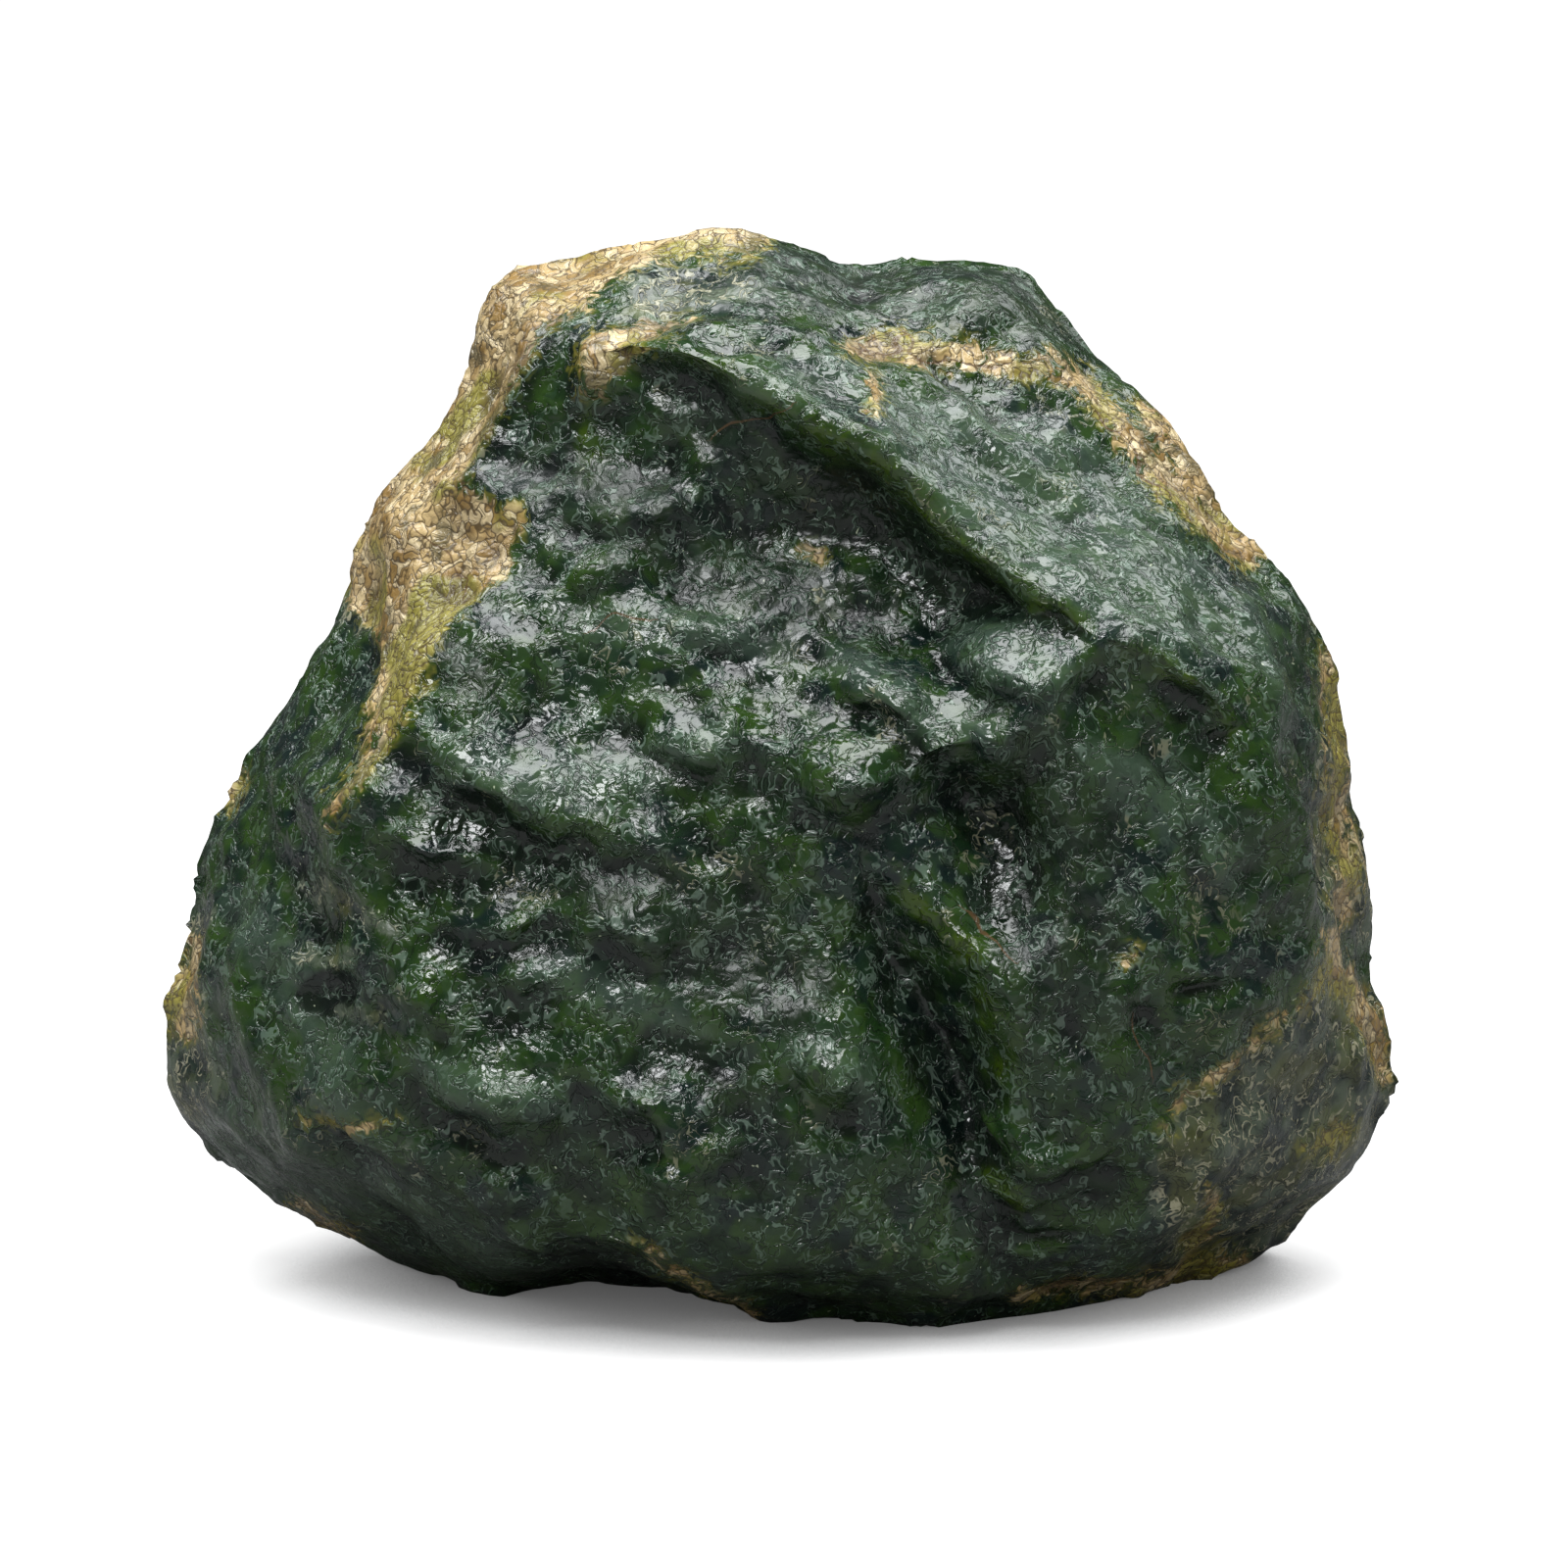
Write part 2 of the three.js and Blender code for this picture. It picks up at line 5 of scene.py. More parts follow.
import bpy
import numpy as np
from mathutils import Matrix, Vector

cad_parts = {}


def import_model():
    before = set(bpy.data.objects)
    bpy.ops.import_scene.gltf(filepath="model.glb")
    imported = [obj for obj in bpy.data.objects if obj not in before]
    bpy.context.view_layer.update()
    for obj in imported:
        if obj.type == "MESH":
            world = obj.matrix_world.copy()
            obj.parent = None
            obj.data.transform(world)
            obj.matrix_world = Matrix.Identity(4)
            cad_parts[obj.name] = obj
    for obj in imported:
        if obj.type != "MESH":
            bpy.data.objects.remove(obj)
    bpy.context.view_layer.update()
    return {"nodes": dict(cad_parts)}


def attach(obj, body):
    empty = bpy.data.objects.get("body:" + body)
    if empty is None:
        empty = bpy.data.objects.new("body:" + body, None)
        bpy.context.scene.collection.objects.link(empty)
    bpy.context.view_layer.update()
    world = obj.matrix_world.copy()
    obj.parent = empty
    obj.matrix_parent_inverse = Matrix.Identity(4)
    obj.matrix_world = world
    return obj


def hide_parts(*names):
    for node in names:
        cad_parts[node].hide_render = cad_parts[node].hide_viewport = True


# The photograph's view, as the solid was drawn on it: metres, and steps of a square grid of 1600
STONE_WIDTH = 0.317
STONE_STEPS = 1268
STEP = STONE_WIDTH / STONE_STEPS
VIEW_MIDDLE = 800
VIEW_STEPS = 1600
VIEW_DISTANCE = 1.2
LOOK_DOWN = math.radians(8)
AIM_HEIGHT = 0.1275
STAND_SHIFT = np.array([0.00075, -0.00647, 0.0])  # from the drawing's middle to under the stone's box
SENSOR = 36

MM = 0.001

# The mesh: how often the solid's triangles are cut into four, and how far each smoothing goes
SUBDIVISIONS = 2
FIRST_SMOOTHING = 0.5
LAST_SMOOTHING = 0.25
UNDERSIDE_HEIGHT = 0.2 * MM

# Where the ledges and facets come in: millimetres forward of the drawing's middle plane, and how far
# the surface turns towards the viewer
FRONT = (-10, 25)
FRONT_FACING = (-0.4, 0)

# How far back the greens of the front reach, and where a field is cut off, in millimetres
SIDES_FROM = -20
FAR = 20
RIND_FAR = 25
CRACK_FAR = 30

# Millimetres inside its line where a field that shapes the mesh begins and where it is full
CALM_EDGE = (-4, 3)
RIND_EDGE = (-1, 2)
MOSS_EDGE = (-3, 3)

# Surface relief in millimetres: the splintery grain and its bends, then scallops with their size,
# height and stretch along the grain, and bands of grit with their size and height
GRAIN = np.array([0.80, 0.15, -0.58])
GRAIN_BEND_SIZE = 30
GRAIN_BEND_REACH = 7
SCALLOPS = [(34, 4.8, 1.6), (19, 4.0, 2.0), (10, 2.1, 1.8), (5.5, 0.8, 1.4)]
SCALLOP_RIM = 1.1
SCALLOP_LEVEL = 0.4  # share of a scallop's height that lies below the solid's surface
LARGE_SCALLOP = 15
GRIT_BANDS = [(9, 0.8), (4.4, 0.35)]
GRIT_LEVEL = 0.35
COARSER = 1.7
COARSER_SHARE = 0.6
QUIET_EDGE = 0.35  # how far from edge-on to the viewer the largest scallops reach their full height
RIND_CALM = 0.4  # how much of the small scallops the rind lacks
CALM_SHARE = 0.7  # how much of the relief the smooth parts of the broken surface lack

# Tips that stand farther than this out of the surface around them, in millimetres, are worn down
TIP = 1.3
TIP_WEAR = 0.75
TIP_ROUNDS = 14
TIP_FACING = (0.1, 0.5)  # how far towards the viewer a tip faces where the wear begins and is full

# Ledges: how hollow the surface below a lip is, size and reach of the bends in its line, and wear
UNDERCUT = 0.15
LEDGE_WANDER = [(16, 3.4), (6, 1.8)]
LEDGE_WEAR_SIZE = 14
LEDGE_HEIGHT_SHARE = 0.75
LEDGE_FOOT_SHARE = 1.5
LEDGE_CURVE = 1.25

# How crests and hollows are told apart: rounds of averaging, and weight of the fine and the wide bulge
WIDE_ROUNDS = 8
FINE_WEIGHT = 4
WIDE_WEIGHT = 10

# Rind behind the photograph's reach: where it takes over, patches with their size, reach and seed,
# and how much smaller they all are, in millimetres
BEHIND = (5, 55)
BACK_CREAM = [(90, 16, 341), (34, 8, 344), (13, 6, 350)]
BACK_CREAM_LESS = 5
BACK_ROUGH = [(60, 12, 347), (24, 9, 353)]
BACK_ROUGH_LESS = 1

# Clouded noises that the material reads: size in millimetres, and seed
CLOUDED = {"clouds": (26, 400), "mottle": (9, 420), "stain": (13, 440), "moss": (19, 460)}
MOSS_MORE = 0.35

# Size and reach of the bends in a crack, in millimetres and in steps of the view
CRACK_BEND_SIZE = 7
CRACK_BEND_REACH = 9

# Seeds of the other noises, so that every run gives the same stone
SEEDS = {
    "grain": 60,
    "scallops": 100,
    "grit": 200,
    "coarse grit": 230,
    "ledge across": 500,
    "ledge down": 505,
    "ledge wear": 530,
    "crack across": 560,
    "crack down": 565,
}

# Lips of the ledges on the view, lift, and reach above and below the lip, in millimetres
LEDGES = [
    ([(452, 765), (505, 808), (545, 842), (600, 836), (652, 862)], 5, 17, 3),
    ([(664, 742), (700, 760), (738, 782)], 4.5, 12, 3),
    ([(700, 700), (728, 722), (756, 748)], 3, 8, 2.5),
    ([(860, 668), (900, 705), (938, 732)], 4, 12, 3),
    ([(806, 790), (832, 814), (872, 818), (925, 792)], 4.5, 16, 3),
    ([(392, 852), (440, 872), (508, 876)], 3.5, 10, 2.5),
    ([(590, 930), (620, 945), (660, 960), (705, 958)], 4.5, 16, 3),
    ([(510, 992), (545, 1004), (580, 998)], 3.5, 10, 2.5),
    ([(395, 1000), (425, 1022), (458, 1036)], 3, 9, 2.5),
    ([(430, 1092), (470, 1118), (505, 1142), (580, 1148)], 5, 16, 3),
    ([(612, 1120), (655, 1138), (708, 1138)], 4, 11, 2.5),
    ([(640, 1190), (680, 1204), (712, 1206)], 4, 11, 2.5),
    ([(690, 1160), (725, 1172), (762, 1180)], 3.5, 9, 2.5),
    ([(808, 1080), (835, 1102), (862, 1114), (895, 1108)], 4.5, 14, 3),
    ([(580, 572), (600, 585), (660, 580)], 3, 9, 2.5),
    ([(585, 520), (645, 530), (715, 516)], 3.5, 11, 2.5),
    ([(1190, 1035), (1240, 1050), (1300, 1035)], 3, 11, 3),
    ([(1030, 1175), (1062, 1200), (1100, 1200)], 3.5, 11, 3),
    ([(1030, 1275), (1080, 1292), (1140, 1284)], 4, 11, 3),
    ([(480, 940), (520, 950), (552, 930)], 3.5, 11, 2.5),
    ([(300, 985), (345, 994), (378, 980)], 3.5, 9, 2.5),
    ([(690, 638), (745, 648), (790, 652)], 3, 10, 2.5),
    ([(495, 1205), (520, 1222), (548, 1220)], 3.5, 10, 2.5),
    ([(715, 1055), (740, 1100), (768, 1165)], 2.5, 10, 3),
    ([(590, 985), (625, 1040), (655, 1080)], 2.5, 10, 3),
    ([(560, 860), (600, 900), (640, 915)], 3, 10, 3),
    ([(760, 860), (790, 900), (800, 950)], 2, 10, 3),
    ([(1110, 520), (1150, 560), (1190, 600)], 1.5, 8, 3),
    ([(970, 470), (1010, 520), (1060, 560)], 1.5, 8, 3),
    ([(870, 1215), (910, 1228), (950, 1260)], 3, 10, 3),
]

# Where the cream and tan rind lies on the view: areas, and strokes of (across, down, half width)
CREAM_AREAS = [
    [
        (300, 560), (330, 480), (400, 380), (440, 260), (520, 200), (700, 190), (800, 225), (790, 245),
        (770, 260), (735, 256), (700, 260), (668, 266), (640, 274), (615, 292), (598, 318), (575, 322),
        (560, 332), (545, 358), (530, 384), (512, 418), (492, 452), (474, 485), (468, 503), (500, 512),
        (530, 522), (536, 532), (522, 560), (510, 585), (490, 605), (472, 622), (456, 645), (444, 668),
        (430, 700), (416, 722), (400, 748), (385, 772), (368, 797), (352, 817), (340, 837), (328, 847),
        (330, 828), (345, 800), (360, 775), (372, 745), (376, 715), (380, 690), (384, 665), (386, 645),
        (375, 640), (360, 625), (352, 600), (340, 580),
    ],
]
CREAM_STROKES = [
    [(605, 395, 10), (598, 370, 12), (612, 350, 14), (640, 340, 10), (672, 328, 6), (704, 316, 4)],
    [(600, 400, 6), (612, 380, 12), (650, 356, 8)],
    [(868, 352, 9), (900, 346, 17), (935, 350, 17), (970, 357, 15), (1005, 365, 12), (1032, 374, 10)],
    [(1032, 374, 10), (1070, 374, 9), (1105, 397, 11), (1135, 425, 12), (1160, 452, 15), (1190, 482, 20)],
    [(1190, 482, 20), (1222, 512, 22), (1250, 530, 18), (1284, 566, 11)],
    [(1165, 420, 9), (1200, 446, 15), (1235, 490, 16)],
    [(893, 385, 6), (894, 408, 8)],
    [(1362, 660, 9), (1372, 720, 10), (1370, 780, 11), (1368, 830, 12), (1378, 880, 13), (1372, 930, 13)],
    [(1362, 960, 14), (1362, 985, 16), (1392, 1020, 13), (1412, 1060, 13), (1418, 1100, 11)],
    [(1205, 1312, 8), (1222, 1275, 11), (1240, 1240, 9), (1232, 1212, 4)],
    [(1190, 1150, 2), (1212, 1118, 3), (1250, 1095, 3), (1290, 1062, 3), (1320, 1034, 3), (1350, 1000, 5)],
    [(1040, 1326, 5), (1120, 1316, 6), (1200, 1304, 9), (1270, 1288, 8)],
    [(1345, 1175, 7), (1370, 1150, 8)],
    [(190, 960, 6), (183, 1000, 14), (178, 1050, 12)],
    [(236, 780, 8), (225, 815, 8)],
    [(302, 1148, 2.5), (350, 1152, 3), (398, 1146, 2)],
    [(300, 1232, 5), (330, 1250, 6), (360, 1262, 3)],
    [(642, 1272, 2.5), (690, 1298, 3), (735, 1326, 3.5), (768, 1344, 4)],
    [(818, 556, 3), (838, 564, 4)],
    [(1146, 982, 2), (1158, 975, 3)],
]
ROUGH_AREAS = [
    [
        (1352, 985), (1340, 1012), (1310, 1034), (1280, 1066), (1245, 1093), (1210, 1113), (1190, 1146),
        (1175, 1190), (1178, 1240), (1188, 1290), (1230, 1330), (1330, 1300), (1430, 1220),
        (1460, 1100), (1440, 1010), (1375, 985),
    ],
    [(640, 284), (690, 266), (745, 260), (778, 272), (766, 292), (730, 308), (690, 315), (625, 326)],
    [(1325, 600), (1352, 660), (1350, 760), (1340, 860), (1345, 960), (1420, 960), (1410, 800), (1380, 620)],
    [(340, 560), (405, 545), (408, 600), (380, 650), (340, 640)],
    [(160, 900), (215, 930), (205, 1000), (200, 1060), (230, 1120), (190, 1180), (150, 1080)],
]
ROUGH_STROKES = [
    [(310, 905, 6), (350, 925, 10), (395, 950, 8)],
    [(300, 970, 8), (335, 985, 9), (360, 972, 6)],
    [(340, 1030, 7), (378, 1038, 6)],
    [(410, 1165, 4), (424, 1200, 5)],
    [(830, 590, 6), (850, 625, 6)],
    [(600, 290, 4), (575, 322, 5)],
    [(690, 300, 6), (760, 290, 6)],
]

# Where the green is paler and greyer, partly as a painted sheen on faces that catch the light
PALE_SHEEN_AREAS = [
    [
        (905, 395), (960, 400), (1010, 410), (1080, 430), (1130, 470), (1185, 520), (1235, 560), (1262, 610),
        (1270, 660), (1240, 668), (1190, 655), (1140, 640), (1090, 615), (1040, 585), (1000, 560),
        (960, 520), (925, 480), (900, 440),
    ],
]
PALE_SHEEN_STROKES = [
    [(985, 640, 18), (1030, 655, 30), (1085, 690, 18)],
    [(700, 425, 18), (760, 400, 14), (860, 380, 16)],
    [(860, 665, 16), (900, 700, 22), (940, 725, 18), (1010, 745, 10)],
    [(470, 770, 16), (540, 800, 26), (640, 790, 22), (730, 750, 18)],
    [(1270, 600, 12), (1300, 680, 18), (1320, 760, 12)],
    [(450, 1100, 18), (520, 1120, 26), (580, 1130, 14)],
    [(820, 1070, 18), (880, 1100, 16)],
    [(560, 990, 20), (640, 1010, 24), (700, 1060, 18)],
    [(250, 930, 22), (330, 1060, 26), (360, 1180, 20)],
    [(200, 1120, 16), (260, 1200, 18), (300, 1250, 12)],
    [(1240, 880, 26), (1180, 800, 30), (1120, 780, 20)],
    [(300, 1180, 14), (420, 1250, 26), (520, 1290, 18)],
    [(600, 640, 16), (700, 640, 20), (800, 660, 16)],
]

# Painted shade: clefts, slits, pits and recesses painted almost black
CLEFT_SHADE_STROKES = [
    [(572, 322, 4), (548, 360, 14), (520, 410, 16), (498, 452, 14), (478, 498, 7)],
    [(583, 348, 6), (586, 400, 8), (580, 448, 7)],
    [(620, 322, 3), (700, 332, 4), (770, 306, 3)],
    [(306, 884, 8), (314, 925, 9), (326, 950, 4)],
    [(322, 1000, 6), (334, 1018, 8)],
    [(1000, 830, 8), (1016, 846, 8)],
    [(900, 950, 10), (925, 1040, 16), (960, 1120, 18), (985, 1200, 12), (1000, 1270, 5)],
    [(820, 520, 10), (880, 532, 14), (940, 550, 10)],
    [(1214, 850, 10), (1222, 900, 9)],
    [(700, 1060, 4), (732, 1115, 5), (760, 1170, 3)],
    [(565, 1285, 10), (640, 1300, 12), (700, 1330, 8)],
]

# Painted shade: broad parts where the green is painted deeper, and duller
BROAD_SHADE_STROKES = [
    [(540, 470, 30), (620, 520, 50), (740, 560, 50), (800, 600, 30)],
    [(600, 900, 36), (700, 950, 54), (800, 1000, 50)],
    [(780, 640, 20), (900, 600, 25)],
    [(1060, 780, 40), (1100, 900, 60), (1080, 1040, 50)],
    [(760, 1120, 30), (800, 1220, 40)],
    [(420, 640, 20), (490, 690, 20)],
    [(800, 270, 36), (960, 280, 48), (1100, 320, 36)],
    [(700, 420, 30), (780, 470, 36), (840, 520, 30)],
]

# Where the broken surface is smooth
CALM_STROKES = [
    [(985, 640, 18), (1040, 664, 40), (1080, 690, 24)],
    [(470, 775, 14), (530, 800, 26), (620, 800, 22), (720, 755, 22)],
    [(850, 770, 22), (900, 760, 18)],
    [(872, 675, 12), (915, 712, 16)],
    [(940, 470, 26), (1000, 530, 34)],
    [(1120, 540, 24), (1190, 600, 34)],
    [(460, 1110, 18), (560, 1130, 18)],
    [(830, 1085, 18), (880, 1095, 14)],
    [(1120, 820, 60), (1200, 960, 50)],
    [(300, 1190, 20), (420, 1260, 30), (520, 1290, 20)],
    [(200, 1120, 20), (260, 1200, 24)],
]

# Small flat facets that catch the light: middle, half width and half height on the view,
# then how far they come forward for each step across and down
FACETS = [
    ((490, 790), (36, 20), 0.0, 0.85),
    ((620, 770), (32, 20), 0.0, 0.85),
    ((702, 752), (40, 22), 0.1, 0.85),
    ((898, 696), (44, 26), -0.1, 0.85),
    ((862, 784), (44, 28), 0.0, 0.85),
    ((460, 708), (26, 14), 0.0, 0.85),
    ((540, 985), (34, 16), 0.0, 0.85),
    ((425, 1012), (24, 14), 0.0, 0.85),
    ((510, 1112), (62, 26), 0.0, 0.8),
    ((660, 1118), (40, 20), 0.0, 0.8),
    ((728, 1165), (32, 16), 0.0, 0.85),
    ((675, 1190), (28, 14), 0.0, 0.85),
    ((848, 1084), (36, 26), 0.0, 0.85),
    ((515, 1198), (24, 18), 0.0, 0.85),
    ((522, 922), (28, 18), 0.0, 0.85),
    ((880, 1225), (20, 14), 0.0, 0.85),
    ((1060, 1185), (30, 18), 0.0, 0.85),
    ((1080, 1270), (50, 16), 0.0, 0.85),
    ((1245, 1018), (54, 18), 0.0, 0.85),
    ((690, 415), (34, 16), 0.0, 0.85),
    ((730, 882), (26, 14), 0.0, 0.85),
]

# The brightest one, and how many millimetres it stands out from under the crest
BRIGHT_FACET = ((1044, 664), (70, 46), 0.1, 0.95)
BRIGHT_LIFT = 9

# How flat the middle of a facet is, from 0 to 1, which part of it sets its depth, and where it ends
FACET_SHARE = 0.65
BRIGHT_SHARE = 0.9
FACET_MIDDLE = 0.5
FACET_EDGE = (0.3, 1.5)

# Where the rind and the rough skin are yellow green
MOSSY_STROKES = [
    [(598, 400, 10), (612, 370, 18), (650, 348, 14), (690, 340, 8)],
    [(450, 600, 24), (420, 700, 18), (345, 840, 10)],
    [(400, 420, 22), (360, 500, 16)],
    [(1340, 1180, 14), (1380, 1150, 14)],
    [(1190, 1180, 12), (1230, 1300, 16)],
    [(1360, 880, 10), (1370, 700, 8)],
]

# Hair cracks in the green and in the rind
CRACKS = [
    [(725, 445), (748, 432), (770, 428), (806, 414)],
    [(990, 925), (1008, 948), (1018, 962), (1036, 978)],
    [(1160, 1040), (1164, 1068), (1180, 1100)],
    [(886, 352), (920, 346), (962, 364), (1022, 372)],
    [(1118, 422), (1150, 448), (1172, 480), (1215, 524)],
    [(600, 640), (640, 625), (668, 632)],
    [(428, 540), (452, 560), (470, 600)],
]

# Where light gets through the thin green lips
GLOW_STROKES = [
    [(640, 352, 8), (700, 366, 12), (745, 388, 12), (800, 415, 10)],
    [(830, 440, 12), (880, 462, 14), (930, 500, 15), (970, 552, 14), (1020, 588, 14), (1095, 640, 14)],
    [(1140, 662, 10), (1190, 678, 12), (1228, 706, 12), (1250, 738, 8)],
    [(365, 795, 8), (390, 775, 12)],
    [(930, 915, 12), (965, 945, 16), (990, 975, 14)],
    [(1000, 1020, 12), (1030, 1070, 12), (1010, 1100, 8)],
    [(1010, 1190, 10), (1035, 1240, 10)],
    [(470, 460, 6), (500, 420, 6)],
    [(590, 430, 12), (610, 480, 8)],
    [(430, 700, 6), (380, 790, 6)],
]

# Colours as they look on the screen, from 0 to 255
COLOURS = {
    "teal green": (15, 32, 29),
    "bottle green": (24, 48, 18),
    "leaf green": (46, 72, 22),
    # painted light on the crests
    "crest light green": (50, 76, 24),
    "lit lip": (58, 80, 8),
    # a paler grey face, partly a painted sheen
    "pale sheen face": (80, 98, 82),
    # painted shade over broad parts
    "broad shade green": (12, 26, 18),
    # painted shade in hollows and clefts
    "hollow": (6, 14, 12),
    "pale scale": (46, 68, 50),
    "tan": (196, 170, 120),
    "brown": (140, 110, 56),
    "cream": (222, 204, 162),
    "yellow green": (138, 134, 52),
    "outline": (78, 62, 36),
    # painted shade in the rind's hollows and clefts
    "brown hollow": (70, 54, 32),
    "olive stain": (88, 82, 54),
    "yellow rim": (128, 124, 40),
    "green rim": (66, 82, 26),
    "dark skin": (32, 46, 40),
    "grey skin": (88, 98, 82),
    "mossy skin": (112, 112, 44),
    # painted shade in the grooves beside the fibres
    "groove": (6, 14, 10),
    # the pale fibre colour is partly a painted glint
    "pale fibre": (128, 150, 134),
    "tan fibre": (170, 166, 138),
    "speck": (190, 200, 170),
    "crack": (94, 70, 46),
}

# Sizes in millimetres in the material: the felt's bends, scales and fibres, specks, and frayed edges
BEND_SIZE = 4.5
BEND_REACH = 8
SCALE_SIZE = 3.6
SPECK_SIZE = 4.2
FRAY_SIZE = 6
FRAY_REACH = 15

# Millimetres inside its drawn line where each region's edge begins and where it is full
EDGES = {
    "cream": (-0.6, 1.4),
    "rim": (-2.6, 0.0),
    "rough": (-1.5, 3.0),
    "glow": (-3.0, 2.5),
    "pale": (-5.0, 4.0),
    "deep": (-6.0, 5.0),
    "dark": (-2.5, 2.0),
}

INDEX_OF_REFRACTION = 1.6

# Brightness of the world: on the stone, mirrored in the stone, and behind it
FILL = 0.62
FILL_MIRRORED = 0.08
BACKDROP = 1.1

# The floor: half its width in metres, how much light it throws back to the camera and to the
# stone, how near the stone its painted contact shadow reaches, and its own brightness from there outwards
FLOOR_REACH = 12
FLOOR_SEEN = 0.36
FLOOR_FELT = 0.2
CONTACT_REACH = 0.04
CONTACT_SAMPLES = 4
FLOOR_GLOW = (0.06, 0.9)

# Soft lights: name, place, the point that it faces, width, depth, power and colour
LIGHTS = [
    ("overhead", (0.05, -0.04, 1.2), (0, 0, 0.12), 0.9, 0.7, 13.5, (0.97, 0.985, 1.0)),
    ("front", (-0.15, -1.0, 1.25), (0, 0, 0.1), 0.7, 0.3, 9, (0.97, 0.985, 1.0)),
    ("right rear", (0.87, 0.61, 1.2), (0, 0, 0.15), 0.6, 0.5, 3.5, (0.95, 0.98, 1.0)),
    ("left rear", (-0.91, 0.42, 1.25), (0, 0, 0.15), 0.6, 0.5, 6, (0.95, 0.98, 1.0)),
]


def colour(name):
    """A named colour as linear light."""
    parts = [c / 255 for c in COLOURS[name]]
    linear = [c / 12.92 if c <= 0.04045 else ((c + 0.055) / 1.055) ** 2.4 for c in parts]
    return (*linear, 1.0)


# Numbers over many points at once

def view_of(points):
    """Across, down and millimetres forward, as part of the photograph's view, for each point."""
    drawn = points - STAND_SHIFT
    away = drawn[:, 1] + VIEW_DISTANCE * math.cos(LOOK_DOWN)
    above = drawn[:, 2] - AIM_HEIGHT - VIEW_DISTANCE * math.sin(LOOK_DOWN)
    scale = VIEW_DISTANCE / (away * math.cos(LOOK_DOWN) - above * math.sin(LOOK_DOWN)) / STEP
    down = VIEW_MIDDLE - (away * math.sin(LOOK_DOWN) + above * math.cos(LOOK_DOWN)) * scale
    return VIEW_MIDDLE + drawn[:, 0] * scale, down, -drawn[:, 1] / MM


def smooth_step(low, high, value):
    t = np.clip((value - low) / (high - low), 0, 1)
    return t * t * (3 - 2 * t)


def chance(cells, seed):
    """A repeatable number from 0 to 1 for every cell of a lattice."""
    mixed = (cells[..., 0] * 73856093) ^ (cells[..., 1] * 19349663) ^ (cells[..., 2] * 83492791)
    mixed = (mixed + seed * 40503) & 0xFFFFFFFF
    for _ in range(2):
        mixed = ((mixed ^ (mixed >> 15)) * 739982445) & 0xFFFFFFFF
    mixed = mixed ^ (mixed >> 12)
    return (mixed & 0xFFFFFF) / 0x1000000


def noise(points, size, seed):
    """Smooth noise from about -1 to 1."""
    scaled = points / size
    cell = np.floor(scaled).astype(np.int64)
    part = scaled - cell
    ease = part**3 * (part * (part * 6 - 15) + 10)
    total = np.zeros(len(points))
    for corner in itertools.product((0, 1), repeat=3):
        offset = np.array(corner)
        slope = np.stack([chance(cell + offset, seed + k) for k in range(3)], -1) * 2 - 1
        weight = np.where(offset == 1, ease, 1 - ease).prod(-1)
        total += weight * ((part - offset) * slope).sum(-1)
    return total * 1.8


def cloudy(points, size, seed):
    """Noise of three sizes at once, from about 0 to 1."""
    total = sum(noise(points, size / 2**k, seed + 5 * k) / 1.7**k for k in range(3))
    return 0.5 + 0.45 * total


def bowls(points, size, seed):
    """Bowls with worn rims between them: 0 in the middle of a bowl, up to about 1 on its rim."""
    scaled = points / size
    cell = np.floor(scaled).astype(np.int64)
    nearest = np.full(len(points), np.inf)
    for shift in itertools.product((-1, 0, 1), repeat=3):
        there = cell + np.array(shift)
        middle = there + np.stack([chance(there, seed + k) for k in range(3)], -1)
        nearest = np.minimum(nearest, ((scaled - middle) ** 2).sum(-1))
    return SCALLOP_RIM * np.tanh(nearest)


def along_line(across, down, line):
    """Distance from a line on the view in steps, share of the way along it, and which side is up."""
    nearest = np.full(len(across), np.inf)
    share = np.zeros(len(across))
    upward = np.zeros(len(across), bool)
    lengths = [math.dist(a, b) for a, b in zip(line, line[1:])]
    start = 0
    for (a, b), length in zip(zip(line, line[1:]), lengths):
        wide, deep = (b[0] - a[0]) / length, (b[1] - a[1]) / length
        run = (across - a[0]) * wide + (down - a[1]) * deep
        side = (across - a[0]) * deep - (down - a[1]) * wide
        held = np.clip(run, 0, length)
        distance = np.hypot(run - held, side)
        closer = distance < nearest
        nearest = np.where(closer, distance, nearest)
        share = np.where(closer, (start + held) / sum(lengths), share)
        upward = np.where(closer, side > 0, upward)
        start += length
    return nearest, share, upward


def nearest_on(across, down, a, b):
    """Share of the way from a to b of the nearest place on that segment, and the distance to it."""
    wide, deep = b[0] - a[0], b[1] - a[1]
    along = ((across - a[0]) * wide + (down - a[1]) * deep) / (wide * wide + deep * deep)
    held = np.clip(along, 0, 1)
    return held, np.hypot(across - a[0] - held * wide, down - a[1] - held * deep)


def inside_area(across, down, area):
    """Signed distance to the edge of an area on the view, in steps, positive inside."""
    nearest = np.full(len(across), np.inf)
    inside = np.zeros(len(across), bool)
    for a, b in zip(area, area[1:] + area[:1]):
        _, distance = nearest_on(across, down, a, b)
        nearest = np.minimum(nearest, distance)
        if a[1] != b[1]:
            crossing = a[0] + (down - a[1]) * (b[0] - a[0]) / (b[1] - a[1])
            inside ^= ((a[1] > down) != (b[1] > down)) & (across < crossing)
    return np.where(inside, nearest, -nearest)


def inside_stroke(across, down, stroke):
    """Signed distance to the edge of a stroke whose half width changes along it, positive inside."""
    best = np.full(len(across), -np.inf)
    for a, b in zip(stroke, stroke[1:]):
        held, distance = nearest_on(across, down, a, b)
        best = np.maximum(best, a[2] + (b[2] - a[2]) * held - distance)
    return best


